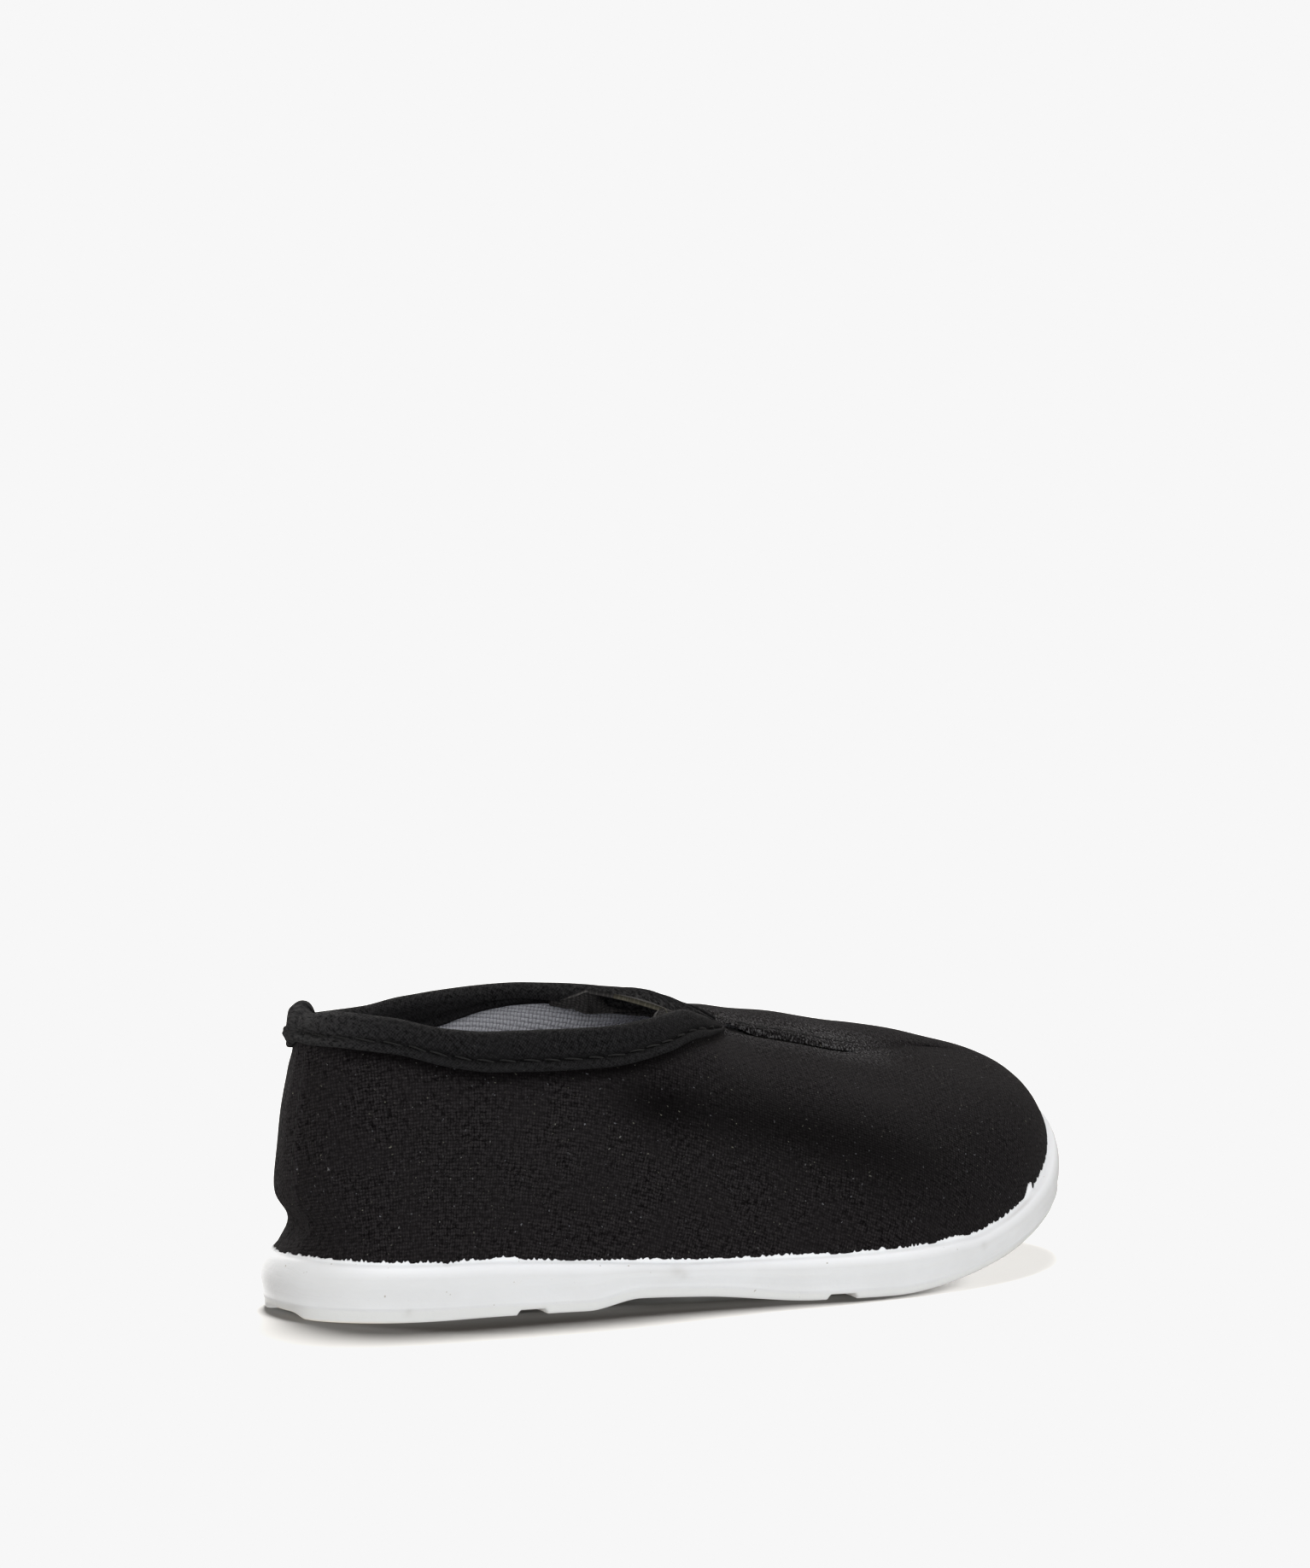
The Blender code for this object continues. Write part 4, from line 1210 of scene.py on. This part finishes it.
# Rings of the flash up the canvas: shares of its hollows and teeth, a step up, and how far it stands out
FLASH_RINGS = table(
    "hollow tooth step stand",
    (0.50, 0.00, -0.10, 0.24),
    (0.55, 0.55, 0.05, 0.17),
    (1.00, 1.00, 0.15, 0.072),
    (1.00, 1.00, 0.20, -0.25),
)
# Marks on the sole's outer side: smudges by place and size, a stained heel edge, painted shade in the toe's
# crease, the low band, and the lip's painted highlight
SMUDGES = [(-17.0, 6.4, 1.3), (-16.0, 5.7, 0.9), (44.0, 7.0, 0.8), (-81.0, 2.2, 0.9), (-66.0, 2.2, 0.7)]
SMUDGE_AND_SHADE_SHARE = 0.4
SMUDGE_FLAT = 1.6
CREAM_X = -76.0
CREAM_REACH = 9.0
CREAM_SHARES = {1: 1.0, 2: 0.6}
TOE_CREASE_SHADE_X = 57.0
TOE_CREASE_SHADE_REACH = 6.0
LOW_RINGS = 5
LOW_SHARE = 0.75
LIP_HIGHLIGHT_X = (-83.0, -68.0)


def flash_height(loop):
    """How far the flash climbs the canvas at each column."""
    chance = np.random.default_rng(21)
    total = loop.along[-1]
    middles = np.cumsum(chance.uniform(0.45, 1.55, int(total / TOOTH_WIDTH * 1.4)) * TOOTH_WIDTH)
    middles = middles[middles < total]
    heights = TOOTH_HEIGHT * chance.uniform(0.05, 1.0, len(middles)) ** 1.6
    widths = TOOTH_WIDTH * chance.uniform(0.22, 0.5, len(middles))
    climb = np.zeros(len(loop.way))
    for middle, height, width in zip(middles, heights, widths):
        climb = np.maximum(climb, height * bell(loop.along - middle, width))
    climb += SWELL_HEIGHT * np.sin(loop.along / 7.3) * np.sin(loop.along / 17.1 + 1.0)
    for smear in SMEARS:
        climb += smear.height * bell(loop.plan[:, 0] - smear.x, smear.width) * loop.lateral
    return climb


def groove_depth(x):
    """Depth of the grooves across the tread."""
    depth = np.zeros_like(x)
    for share in TREAD_GROOVES:
        away = np.abs(x - LENGTH * (share - 0.5))
        depth += GROOVE_DEPTH * np.clip((GROOVE_WIDTH / 2 + GROOVE_DRAFT - away) / GROOVE_DRAFT, 0, 1)
    return depth


def sole_rings(loop):
    """Rings of the sole from inside the tread up its side and its flash to the seat."""
    path, reach = upper_paths(loop)
    lip_reach = lip_length(loop, path, reach)
    rise = loop.lip - loop.bead
    rings = []
    for line in SIDE_LINES:
        rings.append(inside(loop, line.inset, getattr(loop, line.start) + line.climb * rise + line.step))
    climb = flash_height(loop)
    for ring in FLASH_RINGS:
        at = lip_reach + np.minimum(climb, 0) * ring.hollow + np.maximum(climb, 0) * ring.tooth + ring.step
        on_canvas = np.array([on_line(*column) for column in zip(at, reach, path)])
        rings.append(on_canvas + loop.outward * ring.stand)
    rings.append(inside(loop, FEATHER_INSET, loop.seat))
    notch = groove_depth(loop.plan[:, 0])
    for ring, share in zip(rings, GROOVE_SHARES):
        ring[:, 2] += notch * share
    return np.array([inside(loop, TREAD_INSET, loop.tread + notch)] + rings)


def sole_marks(points, level):
    """Values on the sole's points, by their place and by the ring that they are in."""
    x, y, z = points.T
    near = y < 0
    lip_ring = len(SIDE_LINES)
    # The lip mark is a painted highlight on the top rings, fading out towards the heel's end
    lip = np.select([level >= lip_ring - 1, level == lip_ring - 2], [1.0, 0.5], 0.0) * ramp(x, *LIP_HIGHLIGHT_X)
    cream = sum(share * (level == ring) for ring, share in CREAM_SHARES.items())
    # Painted shade in the crease at the toe, mixed with the smudges
    smudge_and_crease_shade = bell(x - TOE_CREASE_SHADE_X, TOE_CREASE_SHADE_REACH) * (level == lip_ring)
    for spot_x, spot_z, size in SMUDGES:
        smudge_and_crease_shade = np.maximum(smudge_and_crease_shade, bell(np.hypot(x - spot_x, (z - spot_z) * SMUDGE_FLAT), size))
    return {
        "low": LOW_SHARE * (level < LOW_RINGS),
        "lip": lip,
        "smudge_and_crease_shade": SMUDGE_AND_SHADE_SHARE * smudge_and_crease_shade * near,
        "cream": cream * bell(x - CREAM_X, CREAM_REACH) * near,
    }


def make_sole(loop):
    """The moulded sole with its side, flash, seat and tread."""
    rings = sole_rings(loop)
    count, columns = rings.shape[:2]
    numbers = grid(count, columns)
    faces = np.concatenate([quads(numbers, closed=True), cap(numbers[0]), cap(numbers[-1])])
    slots = np.zeros(len(faces), int)
    slots[:columns] = 1
    slots[-columns : -(columns // 2)] = 1
    points = rings.reshape(-1, 3)
    uv = np.stack([np.tile(loop.along, count), travelled(rings, 0).ravel()], axis=-1)
    marks = sole_marks(points, np.repeat(np.arange(count), columns))
    paints = [rubber_paint("white_rubber"), rubber_paint("white_tread", tread=True)]
    piece = make_piece("sole", points, faces, paints, slots=slots, uv=uv, marks=marks)
    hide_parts("outsole")


# Rings of the insole by inset and height, its ease inside the lining, and how far a ring draws in at the most
SOCK_RINGS = ((0.0, 0.0), (0.0, 1.3), (0.3, 1.8), (0.9, 2.0), (4.0, 2.1), (9.0, 2.0), (14.0, 1.8))
SOCK_EASE = 0.2
SOCK_END_INSET = 2.0
SOCK_SIDE_INSET = 12.0


def make_sock(loop):
    """The insole board with its woven sock, a little crowned."""
    most = SOCK_SIDE_INSET * np.sin(np.pi * loop.way)[:, None] + SOCK_END_INSET
    rings = []
    for inset, height in SOCK_RINGS:
        edge = inside(loop, FEATHER_INSET + CANVAS + GAP + SOCK_EASE, loop.seat + GAP + height)
        rings.append(edge - loop.outward * np.minimum(inset, most))
    numbers = grid(len(rings), len(loop.way))
    faces = np.concatenate([quads(numbers, closed=True), cap(numbers[-1])])
    points = np.concatenate(rings)
    paint = lining_paint("grey_sock", SOCK_SHADES, SOCK_PITCH)
    piece = make_piece("sock", points, faces, [paint], uv=points[:, :2])
    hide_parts("insole")


# Stage

FLOOR_RADIUS = 0.9
FLOOR_SIDES = 96
FLOOR_COLOUR = (0.205, 0.201, 0.194, 1.0)
FLOOR_CLEAR = (0.30, 0.75)
PAPER_COLOUR = (1.2, 1.2, 1.2, 1.0)
PAPER_SHOWN = 0.930
ROOM_COLOUR = (1.12, 1.0, 0.88, 1.0)
ROOM_BRIGHT_SIDE = (0.0, 0.93, 0.36)
ROOM_SPAN = (-0.5, 0.8)
ROOM_LIGHT = (0.12, 0.35)
VIEW_TURN = math.radians(29.87)
VIEW_DROP = math.radians(8.87)
VIEW_DISTANCE = 1.12871
VIEW_CLIP = (0.05, 20.0)
IMAGE_SIZE = (1534, 1836)
FOCAL_PIXELS = 7278.0
AIM_PIXEL = (798.8, 1497.9)
SENSOR = 36.0

# A lamp high behind the shoe and two at its sides for the floor and its shadow, softer ones for the shoe,
# and the glow of the white table from below
LAMPS = table(
    "name toward energy angle floor_state",
    ("table_key", (0.18, 0.43, 1.0), 17.5, 20, "INCLUDE"),
    ("table_side", (1.0, 0.24, 0.22), 60.0, 20, "INCLUDE"),
    ("table_left", (-1.0, 1.40, 0.50), 4.0, 14, "INCLUDE"),
    ("shoe_key", (0.15, 0.75, 1.0), 1.3, 50, "EXCLUDE"),
    ("shoe_back", (0.10, 1.0, 0.22), 2.0, 60, "EXCLUDE"),
    ("shoe_side", (-1.0, -0.25, 0.25), 0.65, 100, "EXCLUDE"),
    ("shoe_fill", (-0.20, -0.80, 0.80), 2.05, 120, "EXCLUDE"),
    ("table_glow", (-0.60, -0.70, -0.60), 1.5, 120, "EXCLUDE"),
    ("toe_glow", (1.0, -0.50, -0.50), 1.5, 90, "EXCLUDE"),
)


def make_camera():
    """The camera at the photograph's angle, turned so that the middle of the sole meets its pixel."""
    turn, drop = VIEW_TURN, VIEW_DROP
    ahead = Vector((math.sin(turn) * math.cos(drop), math.cos(turn) * math.cos(drop), -math.sin(drop)))
    right = Vector((math.cos(turn), -math.sin(turn), 0.0))
    up = right.cross(ahead)
    aim = Vector((0.0, -MIDDLE_Y * METRES, 0.0))
    raise_by = math.atan2(AIM_PIXEL[1] - IMAGE_SIZE[1] / 2, FOCAL_PIXELS)
    turn_by = math.atan2(AIM_PIXEL[0] - IMAGE_SIZE[0] / 2, FOCAL_PIXELS)
    axes = Matrix((right, up, -ahead)).transposed()
    axes = Matrix.Rotation(turn_by, 3, up) @ Matrix.Rotation(raise_by, 3, right) @ axes
    lens = bpy.data.cameras.new("camera")
    lens.sensor_width = SENSOR
    lens.lens = FOCAL_PIXELS / max(IMAGE_SIZE) * SENSOR
    lens.clip_start, lens.clip_end = VIEW_CLIP
    camera = bpy.data.objects.new("camera", lens)
    camera.matrix_world = Matrix.Translation(aim - ahead * VIEW_DISTANCE) @ axes.to_4x4()
    bpy.context.scene.collection.objects.link(camera)
    bpy.context.scene.camera = camera


def make_floor():
    """A pale floor that melts into the background away from the shoe."""
    ring = np.linspace(0, 2 * math.pi, FLOOR_SIDES, endpoint=False)
    points = [(0.0, 0.0, 0.0)] + [(FLOOR_RADIUS * math.cos(a), FLOOR_RADIUS * math.sin(a), 0.0) for a in ring]
    faces = [(0, i + 1, (i + 1) % FLOOR_SIDES + 1) for i in range(FLOOR_SIDES)]
    mesh = bpy.data.meshes.new("floor")
    mesh.from_pydata(points, [], faces)
    paint = Paint("pale_floor", Roughness=1.0, Specular_IOR_Level=0.0, Base_Color=FLOOR_COLOUR)
    away = paint.node("VectorMath", {0: paint.node("TexCoord", {}, "Object")}, "Value", operation="LENGTH")
    paint.put(paint.shader.inputs["Alpha"], paint.between(away, *FLOOR_CLEAR, 1.0, 0.0))
    mesh.materials.append(paint.material)
    floor = bpy.data.objects.new("floor", mesh)
    bpy.context.scene.collection.objects.link(floor)
    floor.visible_diffuse = False
    floor.visible_glossy = False
    return floor


def make_world():
    """A pale background; the room lights the shoe more from behind than from the camera's side."""
    world = bpy.data.worlds.new("studio")
    bpy.context.scene.world = world
    world.use_nodes = True
    world.node_tree.nodes.clear()
    nodes = Nodes(world.node_tree)
    spot = nodes.node("TexCoord", {}, "Generated")
    behind = nodes.node("VectorMath", {0: spot, 1: ROOM_BRIGHT_SIDE}, "Value", operation="DOT_PRODUCT")
    strength = nodes.between(behind, *ROOM_SPAN, *ROOM_LIGHT)
    room = nodes.node("Background", {"Color": ROOM_COLOUR, "Strength": strength})
    paper = nodes.node("Background", {"Color": PAPER_COLOUR})
    seen = nodes.node("LightPath", {}, "Is Camera Ray")
    shown = nodes.node("MixShader", {0: seen, 1: room, 2: paper})
    out = nodes.tree.nodes.new("ShaderNodeOutputWorld")
    nodes.put(out.inputs["Surface"], shown)


def make_lamp(name, toward, energy, angle, floor_state, floor):
    """A broad, far lamp for the floor alone or for all but the floor. The floor lets one below it through."""
    light = bpy.data.lights.new(name, "SUN")
    light.energy = energy
    light.angle = math.radians(angle)
    lamp = bpy.data.objects.new(name, light)
    lamp.rotation_euler = Vector(toward).to_track_quat("Z", "Y").to_euler()
    bpy.context.scene.collection.objects.link(lamp)
    reach = bpy.data.collections.new(name + "_reach")
    reach.objects.link(floor)
    reach.collection_objects[0].light_linking.link_state = floor_state
    lamp.light_linking.receiver_collection = reach
    if toward[2] < 0:
        lamp.light_linking.blocker_collection = reach


def set_exposure():
    """Plain colours, with all that is brighter than paper shown as paper, as on the photographer's table."""
    view = bpy.context.scene.view_settings
    view.view_transform = "Standard"
    view.use_curve_mapping = True
    view.curve_mapping.extend = "HORIZONTAL"
    view.curve_mapping.curves[3].points[-1].location = (1.0, PAPER_SHOWN)
    view.curve_mapping.update()


def main():
    set_exposure()
    make_camera()
    make_world()
    floor = make_floor()
    for lamp in LAMPS:
        make_lamp(*lamp, floor)
    wall = make_wall(make_loop(UPPER_STEPS))
    make_canvas(wall, flat_cloth(wall))
    make_lining(wall)
    make_binding(wall)
    thread = thread_paint()
    make_stitches("binding_stitches", binding_stitches(wall), thread)
    make_stitches("slit_stitches", slit_stitches(wall), thread)
    make_stitches("seam_stitches", strip_stitches(wall), thread)
    make_gusset(wall)
    make_sole(make_loop(SOLE_STEPS))
    make_sock(make_loop(SOCK_STEPS))


main()
